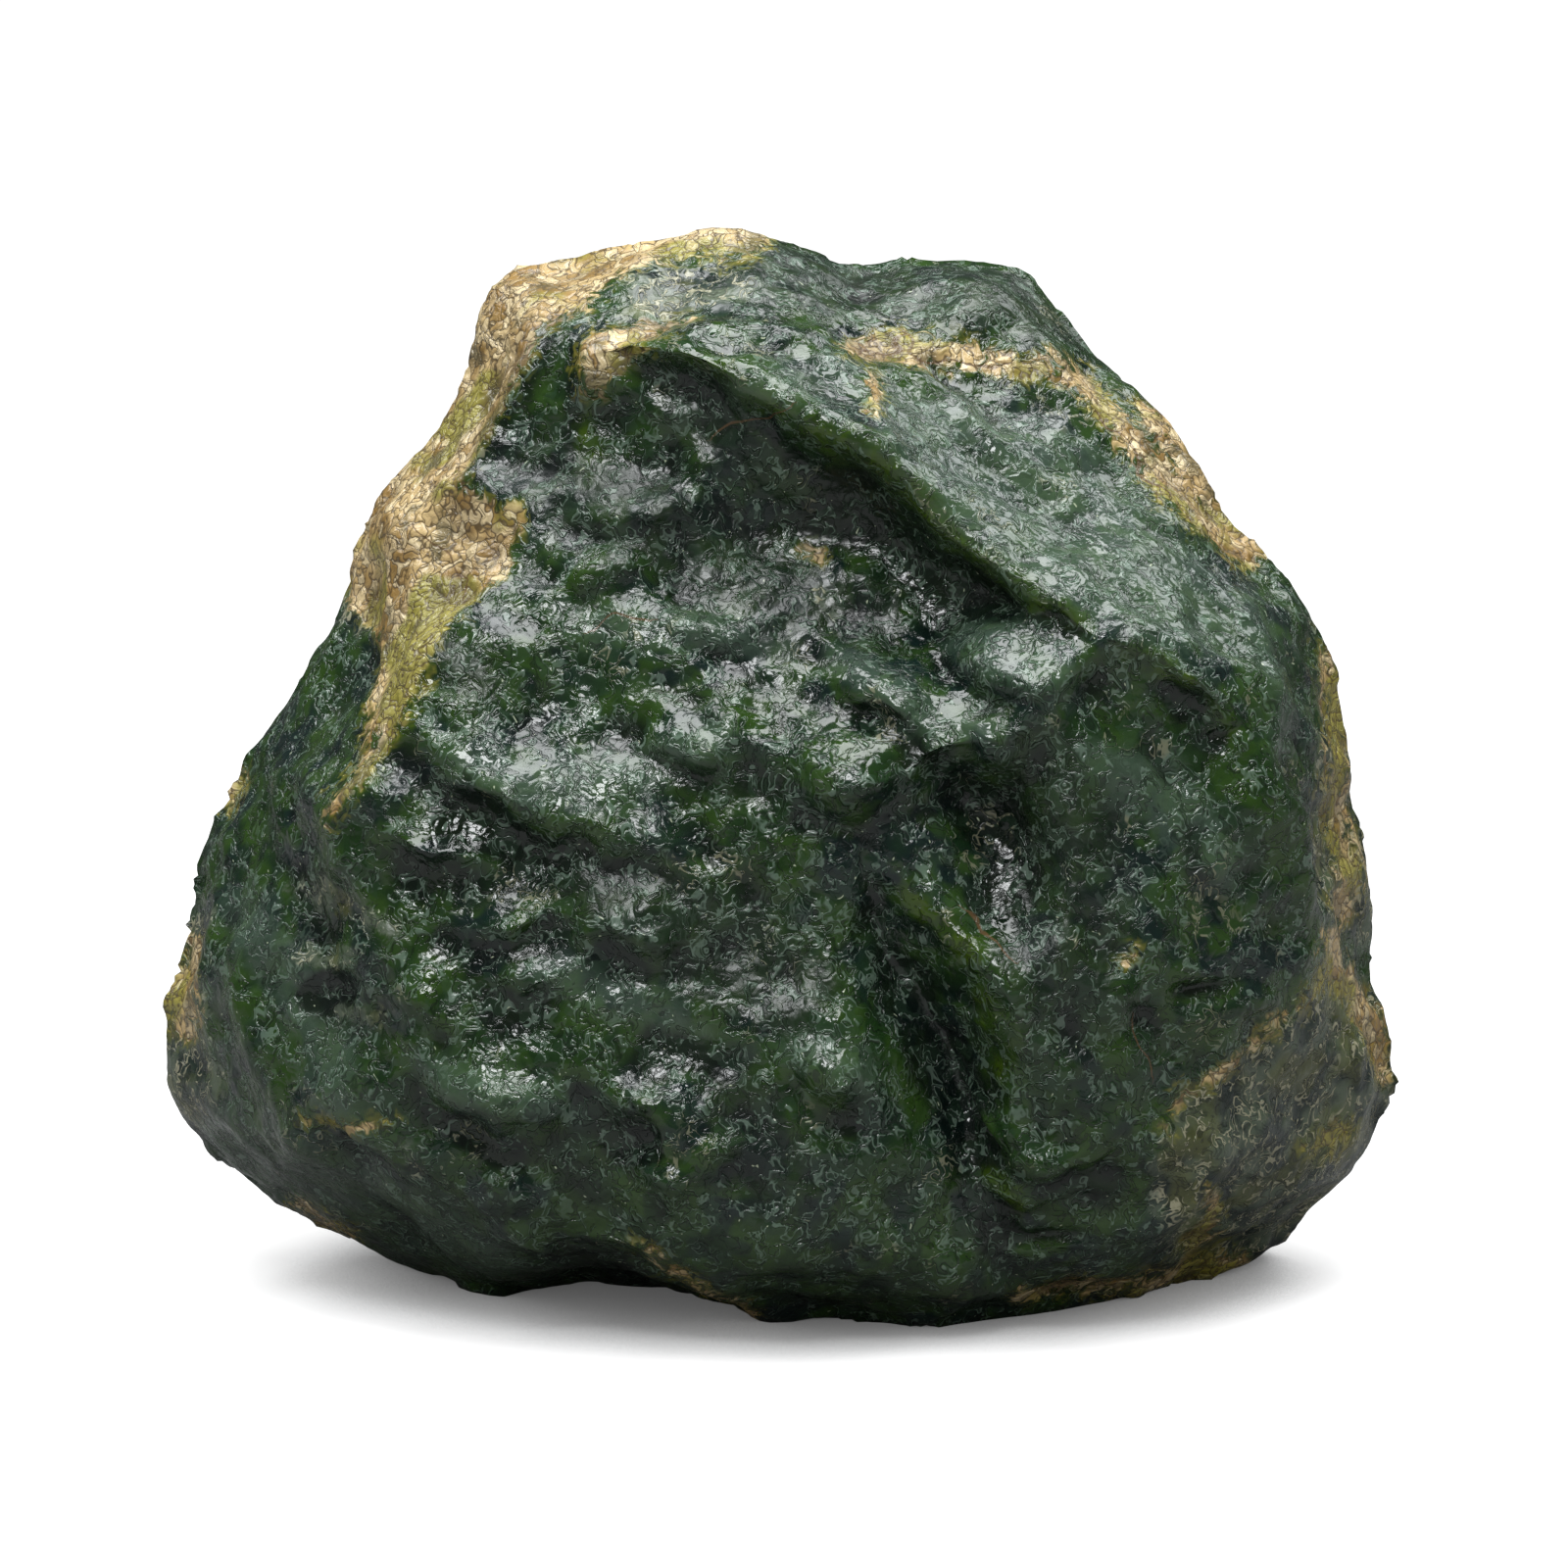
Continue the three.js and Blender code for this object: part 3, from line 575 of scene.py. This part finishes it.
def inside_any(view, strokes, areas=()):
    """How far inside the strokes and areas each point is, in millimetres, negative outside."""
    across, down, _ = view
    fields = [inside_area(across, down, area) for area in areas]
    fields += [inside_stroke(across, down, stroke) for stroke in strokes]
    return np.max(fields, axis=0) * STEP / MM


def inside_near(view, behind, strokes, areas=()):
    """The same, cut off at FAR, and far outside wherever the stone lies behind a depth."""
    _, _, forward = view
    field = np.clip(inside_any(view, strokes, areas), -FAR, FAR)
    return np.where(forward > behind, field, -FAR)


# The mesh

def node_mesh(node):
    """Points and triangles of a CAD node, with points that coincide made one."""
    mesh = node.data
    mesh.calc_loop_triangles()
    points = np.zeros(len(mesh.vertices) * 3)
    mesh.vertices.foreach_get("co", points)
    corners = np.zeros(len(mesh.loop_triangles) * 3, np.int32)
    mesh.loop_triangles.foreach_get("vertices", corners)
    points = points.reshape(-1, 3)
    _, first, same = np.unique(points.round(6), axis=0, return_index=True, return_inverse=True)
    return points[first], same.ravel()[corners].reshape(-1, 3)


def edges_of(triangles):
    return np.concatenate([triangles[:, [0, 1]], triangles[:, [1, 2]], triangles[:, [2, 0]]])


def subdivided(points, triangles):
    """Every triangle cut into four at the middles of its edges."""
    edges, number = np.unique(np.sort(edges_of(triangles), 1), axis=0, return_inverse=True)
    middle = number.reshape(3, -1).T + len(points)
    a, b, c = triangles.T
    ab, bc, ca = middle.T
    parts = [(a, ab, ca), (ab, b, bc), (ca, bc, c), (ab, bc, ca)]
    smaller = np.concatenate([np.stack(part, 1) for part in parts])
    return np.concatenate([points, points[edges].mean(1)]), smaller


class Surface:
    """A closed triangle mesh with the sums that smoothing and normals need."""

    def __init__(self, points, triangles):
        self.points = points
        self.triangles = triangles
        self.starts, self.ends = edges_of(triangles).T
        self.valence = np.bincount(self.starts, minlength=len(points))

    def neighbour_mean(self, values):
        """The mean of each point's neighbours, of which every one is counted once."""
        if values.ndim > 1:
            return np.stack([self.neighbour_mean(column) for column in values.T], -1)
        return np.bincount(self.starts, values[self.ends], len(values)) / self.valence

    def smooth(self, share):
        self.points = self.points + share * (self.neighbour_mean(self.points) - self.points)

    def wear_tips(self):
        """Blunts what stands out sharply from the front, and leaves the outline as it is."""
        around = self.points
        for _ in range(TIP_ROUNDS):
            around = self.neighbour_mean(around)
        normals = self.normals()
        out = ((self.points - around) * normals).sum(1) / MM
        worn = TIP_WEAR * np.maximum(out - TIP, 0) * smooth_step(*TIP_FACING, -normals[:, 1])
        self.points = self.points - normals * worn[:, None] * MM

    def normals(self):
        a, b, c = (self.points[self.triangles[:, k]] for k in range(3))
        facing = np.cross(b - a, c - a)
        out = np.zeros_like(self.points)
        for k in range(3):
            for axis in range(3):
                out[:, axis] += np.bincount(self.triangles[:, k], facing[:, axis], len(self.points))
        return out / np.linalg.norm(out, axis=1, keepdims=True)


# The relief

def ledge_lift(points):
    """How far the lips of the ledges stand out, in millimetres: a flat slope above each, a step below."""
    across, down, _ = view_of(points)
    spot = points / MM
    for i, (size, reach) in enumerate(LEDGE_WANDER):
        across = across + noise(spot, size, SEEDS["ledge across"] + 10 * i) * reach * MM / STEP * 2
        down = down + noise(spot, size, SEEDS["ledge down"] + 10 * i) * reach * MM / STEP * 2
    worn = np.clip(0.6 + 0.7 * noise(spot, LEDGE_WEAR_SIZE, SEEDS["ledge wear"]), 0.1, 1.1)
    lift = np.zeros(len(across))
    for line, height, above, below in LEDGES:
        distance, share, upward = along_line(across, down, line)
        distance = distance * STEP / MM
        below = below * LEDGE_FOOT_SHARE
        rise = LEDGE_HEIGHT_SHARE * height * np.sin(math.pi * share)
        slope = rise * np.clip(1 - distance / above, 0, 1) ** LEDGE_CURVE
        step = rise * (1 - (1 + UNDERCUT) * np.clip(distance / below, 0, 1))
        foot = -UNDERCUT * rise * np.clip(1.5 - distance / (2 * below), 0, 1)
        lift += np.where(upward, slope, np.where(distance < below, step, foot))
    return lift * worn


def facet_lift(points):
    """How far the small flat facets move the surface towards the viewer, in millimetres."""
    across, down, forward = view_of(points)
    flat = forward.copy()
    facets = [(facet, 0, FACET_SHARE) for facet in FACETS]
    facets.append((BRIGHT_FACET, BRIGHT_LIFT, BRIGHT_SHARE))
    for (middle, (half_wide, half_high), slope_across, slope_down), out, strength in facets:
        wide, deep = across - middle[0], down - middle[1]
        away = (wide / half_wide) ** 2 + (deep / half_high) ** 2
        level = forward[(away < FACET_MIDDLE) & (forward > 0)].mean() + out
        plane = level + (slope_across * wide + slope_down * deep) * STEP / MM
        share = strength * (1 - smooth_step(*FACET_EDGE, away)) * (forward > 0)
        flat += share * (plane - flat)
    return flat - forward


def relief(points, normals, rind):
    """The broken surface's scallops, chips and grit, in millimetres along the normal."""
    grain = GRAIN / np.linalg.norm(GRAIN)
    spot = points / MM
    seeds = [SEEDS["grain"] + 3 * k for k in range(3)]
    bend = np.stack([noise(spot, GRAIN_BEND_SIZE, seed) for seed in seeds], -1) * GRAIN_BEND_REACH
    lift = np.zeros(len(points))
    viewer = np.array([0, -math.cos(LOOK_DOWN), math.sin(LOOK_DOWN)])
    facing = smooth_step(0, QUIET_EDGE, np.abs(normals @ viewer))
    for i, (size, height, stretch) in enumerate(SCALLOPS):
        run = (spot + bend) @ grain
        squeezed = spot + bend - np.outer(run * (1 - 1 / stretch), grain)
        share = facing if size > LARGE_SCALLOP else 1 - RIND_CALM * rind
        lift += height * share * (bowls(squeezed, size, SEEDS["scallops"] + 10 * i) - SCALLOP_LEVEL)
    for i, (size, height) in enumerate(GRIT_BANDS):
        lift += height * (GRIT_LEVEL - np.abs(noise(spot + bend, size, SEEDS["grit"] + 10 * i)))
        coarser = noise(spot, size * COARSER, SEEDS["coarse grit"] + 10 * i)
        lift += height * COARSER_SHARE * coarser
    return lift


def raise_relief(surface, view, rind):
    """Moves the surface by its relief, its ledges and its facets, and wears the tips."""
    _, _, forward = view
    normals = surface.normals()
    steps = ledge_lift(surface.points)
    front = smooth_step(*FRONT, forward) * smooth_step(*FRONT_FACING, -normals[:, 1])
    calm = smooth_step(*CALM_EDGE, inside_near(view, 0, CALM_STROKES))
    lift = relief(surface.points, normals, rind) * (1 - CALM_SHARE * calm) * MM
    surface.points = surface.points + normals * lift[:, None]
    surface.points[:, 1] -= steps * front * MM
    surface.points[:, 1] -= facet_lift(surface.points) * front * MM
    surface.wear_tips()
    surface.smooth(LAST_SMOOTHING)


# What lies where on the stone

def rind_fields(points):
    """How far inside the cream rind and the rough skin each point is, in millimetres."""
    view = view_of(points)
    behind = smooth_step(*BEHIND, -view[2])
    kinds = [
        (CREAM_STROKES, CREAM_AREAS, BACK_CREAM, BACK_CREAM_LESS),
        (ROUGH_STROKES, ROUGH_AREAS, BACK_ROUGH, BACK_ROUGH_LESS),
    ]
    fields = []
    for strokes, areas, back, less in kinds:
        drawn = np.clip(inside_any(view, strokes, areas), -RIND_FAR, RIND_FAR)
        patches = sum(noise(points / MM, size, seed) * reach for size, reach, seed in back)
        fields.append(drawn * (1 - behind) + behind * (patches - less))
    return fields


def crack_distance(view, spot):
    """Signed distance to the nearest crack in millimetres, so that its line stays thin on the mesh."""
    across, down, forward = view
    across = across + noise(spot, CRACK_BEND_SIZE, SEEDS["crack across"]) * CRACK_BEND_REACH
    down = down + noise(spot, CRACK_BEND_SIZE, SEEDS["crack down"]) * CRACK_BEND_REACH
    signed = np.full(len(across), float(CRACK_FAR))
    for line in CRACKS:
        distance, _, upward = along_line(across, down, line)
        distance = distance * STEP / MM
        signed = np.where(distance < np.abs(signed), np.where(upward, distance, -distance), signed)
    return np.where(forward > 0, signed, CRACK_FAR)


def edge_field(surface):
    """Positive on crests, negative in hollows."""
    normals = surface.normals()
    bulge = ((surface.points - surface.neighbour_mean(surface.points)) * normals).sum(1) / MM
    fine = surface.neighbour_mean(surface.neighbour_mean(bulge))
    wide = bulge
    for _ in range(WIDE_ROUNDS):
        wide = surface.neighbour_mean(wide)
    return fine * FINE_WEIGHT + wide * WIDE_WEIGHT


def make_stone(node):
    """The solid with its relief, inside the solid's box, and the fields that the material reads."""
    points, triangles = node_mesh(node)
    for _ in range(SUBDIVISIONS):
        points, triangles = subdivided(points, triangles)
    low, high = points.min(0), points.max(0)
    resting = points[:, 2] < UNDERSIDE_HEIGHT
    surface = Surface(points, triangles)
    surface.smooth(FIRST_SMOOTHING)
    view = view_of(surface.points)
    cream, rough = rind_fields(surface.points)
    raise_relief(surface, view, smooth_step(*RIND_EDGE, cream))
    surface.points = np.clip(surface.points, low, high)
    surface.points[resting, 2] = 0

    spot = surface.points / MM
    fields = {name: cloudy(spot, size, seed) for name, (size, seed) in CLOUDED.items()}
    fields["moss"] += MOSS_MORE * smooth_step(*MOSS_EDGE, inside_near(view, 0, MOSSY_STROKES))
    crack = crack_distance(view, spot)
    fields |= {
        "crack": crack,
        "crack_near": np.abs(crack),
        "cream": cream,
        "rough": rough,
        "edge": edge_field(surface),
        # pale is partly a painted sheen; dark and deep mark painted shade
        "pale": inside_near(view, SIDES_FROM, PALE_SHEEN_STROKES, PALE_SHEEN_AREAS),
        "dark": inside_near(view, SIDES_FROM, CLEFT_SHADE_STROKES),
        "deep": inside_near(view, SIDES_FROM, BROAD_SHADE_STROKES),
        "glow": inside_near(view, 0, GLOW_STROKES),
    }
    return surface, fields


def make_object(surface, fields):
    mesh = bpy.data.meshes.new("jade_stone_surface")
    mesh.from_pydata(surface.points.tolist(), [], surface.triangles.tolist())
    mesh.shade_smooth()
    for name, values in fields.items():
        layer = mesh.attributes.new(name, "FLOAT", "POINT")
        layer.data.foreach_set("value", values.astype(np.float32))
    piece = bpy.data.objects.new("jade_stone_surface", mesh)
    bpy.context.scene.collection.objects.link(piece)
    return piece


# The material

class Graph:
    """Short calls for building a node tree."""

    def __init__(self, tree):
        self.tree = tree
        tree.nodes.clear()

    def node(self, kind, inputs=(), **settings):
        made = self.tree.nodes.new(kind)
        for name, value in settings.items():
            setattr(made, name, value)
        for key, value in dict(inputs).items():
            self.feed(made.inputs[key], value)
        return made

    def feed(self, socket, value):
        if isinstance(value, bpy.types.NodeSocket):
            self.tree.links.new(value, socket)
        else:
            socket.default_value = value

    def maths(self, operation, a, b=0.0):
        return self.node("ShaderNodeMath", {0: a, 1: b}, operation=operation).outputs[0]

    def plus(self, a, b):
        return self.maths("ADD", a, b)

    def minus(self, a, b):
        return self.maths("SUBTRACT", a, b)

    def times(self, a, b):
        return self.maths("MULTIPLY", a, b)

    def most(self, a, b):
        return self.maths("MAXIMUM", a, b)

    def apart(self, a, b):
        return self.maths("ABSOLUTE", self.minus(a, b))

    def vector(self, operation, a, b):
        return self.node("ShaderNodeVectorMath", {0: a, 1: b}, operation=operation).outputs[0]

    def attribute(self, name):
        return self.node("ShaderNodeAttribute", attribute_name=name).outputs["Fac"]

    def ramp(self, value, low, high, out_low=0.0, out_high=1.0):
        inputs = {0: value, 1: low, 2: high, 3: out_low, 4: out_high}
        return self.node("ShaderNodeMapRange", inputs, interpolation_type="SMOOTHSTEP").outputs[0]

    def mix(self, share, a, b):
        made = self.node("ShaderNodeMix", data_type="RGBA")
        self.feed(made.inputs[0], share)
        self.feed(made.inputs[6], a)
        self.feed(made.inputs[7], b)
        return made.outputs[2]

    def noise(self, where, size, detail, rough, warp, offset):
        """Noise from 0 to 1 with features of a size in millimetres."""
        moved = self.vector("ADD", where, (offset, offset * 1.7, -offset))
        inputs = {"Vector": moved, "Scale": 1 / size, "Detail": detail, "Roughness": rough}
        inputs["Distortion"] = warp
        return self.node("ShaderNodeTexNoise", inputs).outputs["Fac"]

    def cells(self, where, size, feature="F1"):
        inputs = {"Vector": where, "Scale": 1 / size}
        return self.node("ShaderNodeTexVoronoi", inputs, feature=feature).outputs


class Felt:
    """Felted scales a few millimetres across, and short curled fibres that lie over them; the fibres' pale
    colour is partly a painted glint, and the grooves beside them carry painted shade.
    """

    def __init__(self, g, where):
        inputs = {"Vector": where, "Scale": 1 / BEND_SIZE, "Detail": 1.0}
        wobble = g.node("ShaderNodeTexNoise", inputs).outputs["Color"]
        bend = g.vector("SUBTRACT", wobble, (0.5, 0.5, 0.5))
        bent = g.vector("ADD", where, g.vector("MULTIPLY", bend, (BEND_REACH, BEND_REACH, BEND_REACH)))
        scales = g.cells(bent, SCALE_SIZE)
        self.tone = g.node("ShaderNodeSeparateColor", {0: scales["Color"]}).outputs[0]
        self.swell = scales["Distance"]
        self.gap = g.ramp(g.cells(bent, SCALE_SIZE, "DISTANCE_TO_EDGE")["Distance"], 0.1, 0.015)
        self.curls = g.noise(bent, SCALE_SIZE, 1.0, 0.5, 0.8, 53.0)
        shown = g.ramp(self.tone, 0.25, 0.55)
        ridge = g.apart(self.curls, 0.5)
        # pale fibre lines, partly painted glints
        self.fibre_glint = g.times(g.ramp(ridge, 0.05, 0.01), shown)
        self.fibre_height = g.times(g.ramp(ridge, 0.07, 0.0), shown)
        # the grooves, which are darkened as painted shade
        self.groove = g.ramp(g.apart(self.curls, 0.39), 0.05, 0.01)
        self.speck = g.ramp(g.cells(bent, SPECK_SIZE)["Distance"], 0.085, 0.04, 0.0, 0.7)


class Regions:
    """The fields of the mesh, with ragged edges."""

    def __init__(self, g, where, curls):
        self.ragged = g.minus(g.noise(where, FRAY_SIZE, 4.0, 0.65, 0.5, 11.0), 0.5)
        fray = g.times(self.ragged, FRAY_REACH)
        curly = g.times(g.minus(curls, 0.5), 9.0)
        self.clouds = g.ramp(g.attribute("clouds"), 0.3, 0.7)
        self.mottled = g.attribute("mottle")
        self.mottle = g.ramp(self.mottled, 0.35, 0.7)
        self.moss = g.attribute("moss")
        self.stained = g.attribute("stain")
        self.edge = g.attribute("edge")
        self.cream_field = g.plus(g.attribute("cream"), g.plus(g.times(self.ragged, 6.0), curly))
        self.cream = g.ramp(self.cream_field, *EDGES["cream"])
        self.rim = g.ramp(self.cream_field, *EDGES["rim"])
        self.rough = g.ramp(g.plus(g.attribute("rough"), g.plus(fray, curly)), *EDGES["rough"])
        self.glow = g.ramp(g.plus(g.attribute("glow"), g.times(fray, 0.5)), *EDGES["glow"])
        # paler grey faces, partly a painted sheen
        self.pale = g.ramp(g.plus(g.attribute("pale"), fray), *EDGES["pale"], 0.0, 0.45)
        # painted shade over broad parts, which are also duller
        self.deep = g.ramp(g.plus(g.attribute("deep"), fray), *EDGES["deep"])
        # painted shade: hollows found from the bulge of the mesh
        hollow = g.times(g.ramp(self.edge, -0.1, -1.3), 0.85)
        # painted shade: clefts, slits and recesses
        cleft = g.ramp(g.plus(g.attribute("dark"), g.times(fray, 0.6)), *EDGES["dark"])
        self.shade = g.most(hollow, g.times(cleft, 0.8))
        line = g.ramp(g.maths("ABSOLUTE", g.attribute("crack")), 0.45, 0.15)
        self.crack = g.times(line, g.ramp(g.attribute("crack_near"), 2.5, 1.5))


def green_colour(g, felt, regions):
    """Green nephrite: clouded and mottled, with painted light on its crests and lips, paler faces partly
    painted as sheen, and painted shade over broad parts and nearly black in its hollows and clefts.
    """
    green = g.mix(regions.clouds, colour("teal green"), colour("bottle green"))
    green = g.mix(g.times(regions.mottle, 0.7), green, colour("leaf green"))
    # painted light: the crests are made a lighter green
    green = g.mix(g.times(g.ramp(regions.edge, 0.6, 2.6), 0.3), green, colour("crest light green"))
    lit = g.times(regions.glow, g.ramp(regions.mottle, 0.0, 1.0, 0.4, 0.95))
    green = g.mix(lit, green, colour("lit lip"))
    # paler grey faces, partly a painted sheen
    green = g.mix(regions.pale, green, colour("pale sheen face"))
    # painted shade over broad parts
    green = g.mix(g.times(regions.deep, 0.5), green, colour("broad shade green"))
    # painted shade in hollows and clefts, nearly black
    green = g.mix(regions.shade, green, colour("hollow"))
    return g.mix(g.times(g.ramp(felt.tone, 0.3, 0.9), 0.3), green, colour("pale scale"))


def rind_colour(g, felt, regions):
    """Cream and tan rind, yellow green where it thins out, with dark lines between its scales and painted
    shade in its hollows and clefts.
    """
    rind = g.mix(g.ramp(regions.stained, 0.25, 0.75), colour("tan"), colour("brown"))
    rind = g.mix(g.ramp(felt.tone, 0.3, 0.95, 0.0, 0.7), rind, colour("cream"))
    rind = g.mix(g.ramp(regions.moss, 0.48, 0.75, 0.0, 0.85), rind, colour("yellow green"))
    rind = g.mix(g.times(felt.gap, 0.85), rind, colour("outline"))
    # painted shade in the rind's hollows and clefts
    rind = g.mix(g.times(regions.shade, 0.75), rind, colour("brown hollow"))
    return g.mix(g.ramp(regions.mottled, 0.6, 0.85, 0.0, 0.65), rind, colour("olive stain"))


def rough_colour(g, regions):
    """Rough grey skin with moss-coloured patches."""
    grit = g.ramp(g.plus(regions.ragged, regions.mottled), 0.3, 0.75)
    rough = g.mix(grit, colour("dark skin"), colour("grey skin"))
    return g.mix(g.ramp(regions.moss, 0.6, 0.85, 0.0, 0.4), rough, colour("mossy skin"))


def skin_colour(g, felt, regions):
    """All of them, with pale fibres that are partly painted glints beside grooves of painted shade, brownish
    ones in patches, and pale specks.
    """
    skin = g.mix(g.times(regions.rough, 0.8), green_colour(g, felt, regions), rough_colour(g, regions))
    rim = g.mix(regions.mottle, colour("yellow rim"), colour("green rim"))
    skin = g.mix(g.times(regions.rim, 0.5), skin, rim)
    # painted shade in the grooves beside the fibres
    skin = g.mix(g.times(felt.groove, 0.5), skin, colour("groove"))
    brownish = g.most(g.ramp(regions.moss, 0.76, 0.9), regions.rough)
    # pale fibres, partly painted glints
    fibre_glint = g.mix(brownish, colour("pale fibre"), colour("tan fibre"))
    skin = g.mix(g.times(felt.fibre_glint, g.ramp(regions.rough, 0.0, 1.0, 0.36, 0.75)), skin, fibre_glint)
    skin = g.mix(felt.speck, skin, colour("speck"))
    skin = g.mix(regions.cream, skin, rind_colour(g, felt, regions))
    return g.mix(g.times(regions.crack, 0.75), skin, colour("crack"))


def fine_height(g, felt, regions):
    """Relief finer than the mesh, in millimetres."""
    domes = g.times(felt.swell, g.ramp(regions.cream_field, *EDGES["cream"], 0.3, 0.9))
    lumps = g.times(regions.ragged, g.ramp(regions.cream_field, *EDGES["cream"], 0.28, 0.7))
    height = g.minus(g.times(felt.tone, 0.05), domes)
    height = g.minus(height, g.times(felt.groove, 0.1))
    height = g.plus(height, g.times(felt.fibre_height, 0.17))
    return g.plus(height, lumps)


def stone_material():
    material = bpy.data.materials.new("nephrite")
    material.use_nodes = True
    g = Graph(material.node_tree)
    metres = g.node("ShaderNodeTexCoord").outputs["Object"]
    where = g.vector("MULTIPLY", metres, (1 / MM, 1 / MM, 1 / MM))
    felt = Felt(g, where)
    regions = Regions(g, where, felt.curls)
    height = fine_height(g, felt, regions)
    bump = g.node("ShaderNodeBump", {"Height": height, "Strength": 1.0, "Distance": MM})
    # the rind, the rough skin and the parts under broad painted shade are duller
    dull = g.most(g.most(regions.cream, regions.rough), regions.deep)
    inputs = {
        "Base Color": skin_colour(g, felt, regions),
        "Roughness": g.plus(g.ramp(regions.stained, 0.2, 0.8, 0.1, 0.2), g.times(dull, 0.16)),
        "IOR": INDEX_OF_REFRACTION,
        "Normal": bump.outputs[0],
    }
    shader = g.node("ShaderNodeBsdfPrincipled", inputs)
    g.node("ShaderNodeOutputMaterial", {0: shader.outputs[0]})
    return material


# The studio

def grey(level):
    return (level, level, level, 1)


def floor_material():
    """White to the camera, with a painted contact shadow where the stone meets it, and throwing little light
    back.
    """
    material = bpy.data.materials.new("studio_white")
    material.use_nodes = True
    g = Graph(material.node_tree)
    contact = g.node("ShaderNodeAmbientOcclusion", {"Distance": CONTACT_REACH}, samples=CONTACT_SAMPLES)
    white = g.node("ShaderNodeBsdfDiffuse", {"Color": grey(FLOOR_SEEN)}).outputs[0]
    # painted contact shadow: the floor's glow drops where the stone hides it
    strength = g.ramp(contact.outputs["AO"], 0.1, 0.7, *FLOOR_GLOW)
    glow = g.node("ShaderNodeEmission", {"Strength": strength}).outputs[0]
    seen = g.node("ShaderNodeAddShader", {0: white, 1: glow}).outputs[0]
    dark = g.node("ShaderNodeBsdfDiffuse", {"Color": grey(FLOOR_FELT)}).outputs[0]
    direct = g.node("ShaderNodeLightPath").outputs["Is Camera Ray"]
    both = g.node("ShaderNodeMixShader", {0: direct, 1: dark, 2: seen}).outputs[0]
    g.node("ShaderNodeOutputMaterial", {0: both})
    return material


def make_floor():
    mesh = bpy.data.meshes.new("studio_floor")
    corners = [(-1, -1), (1, -1), (1, 1), (-1, 1)]
    mesh.from_pydata([(x * FLOOR_REACH, y * FLOOR_REACH, 0) for x, y in corners], [], [(0, 1, 2, 3)])
    mesh.materials.append(floor_material())
    floor = bpy.data.objects.new("studio_floor", mesh)
    bpy.context.scene.collection.objects.link(floor)


def make_light(name, place, aim, wide, deep, power, tint):
    light = bpy.data.lights.new(name, "AREA")
    light.shape = "RECTANGLE"
    light.size = wide
    light.size_y = deep
    light.energy = power
    light.color = tint
    lamp = bpy.data.objects.new(name, light)
    lamp.location = place
    lamp.rotation_euler = (Vector(aim) - Vector(place)).to_track_quat("-Z", "Y").to_euler()
    bpy.context.scene.collection.objects.link(lamp)


def make_world():
    """White behind the stone, soft fill on it, and nearly dark in its reflections."""
    world = bpy.data.worlds.new("studio")
    bpy.context.scene.world = world
    world.use_nodes = True
    g = Graph(world.node_tree)
    path = g.node("ShaderNodeLightPath").outputs
    fill, mirrored, backdrop = (
        g.node("ShaderNodeBackground", {"Color": grey(1), "Strength": strength}).outputs[0]
        for strength in (FILL, FILL_MIRRORED, BACKDROP)
    )
    light = g.node("ShaderNodeMixShader", {0: path["Is Glossy Ray"], 1: fill, 2: mirrored}).outputs[0]
    light = g.node("ShaderNodeMixShader", {0: path["Is Camera Ray"], 1: light, 2: backdrop}).outputs[0]
    g.node("ShaderNodeOutputWorld", {0: light})


def make_camera():
    camera = bpy.data.cameras.new("camera")
    camera.sensor_width = SENSOR
    camera.lens = SENSOR * VIEW_DISTANCE / (VIEW_STEPS * STEP)
    holder = bpy.data.objects.new("camera", camera)
    back = Vector((0, -math.cos(LOOK_DOWN), math.sin(LOOK_DOWN)))
    aim = Vector(STAND_SHIFT) + Vector((0, 0, AIM_HEIGHT))
    holder.location = aim + back * VIEW_DISTANCE
    holder.rotation_euler = (-back).to_track_quat("-Z", "Y").to_euler()
    bpy.context.scene.collection.objects.link(holder)
    bpy.context.scene.camera = holder


def main():
    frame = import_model()
    surface, fields = make_stone(frame["nodes"]["jade_stone"])
    piece = make_object(surface, fields)
    piece.data.materials.append(stone_material())
    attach(piece, "root")
    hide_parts("jade_stone")
    make_floor()
    make_world()
    for light in LIGHTS:
        make_light(*light)
    make_camera()
    bpy.context.scene.view_settings.view_transform = "Standard"


main()
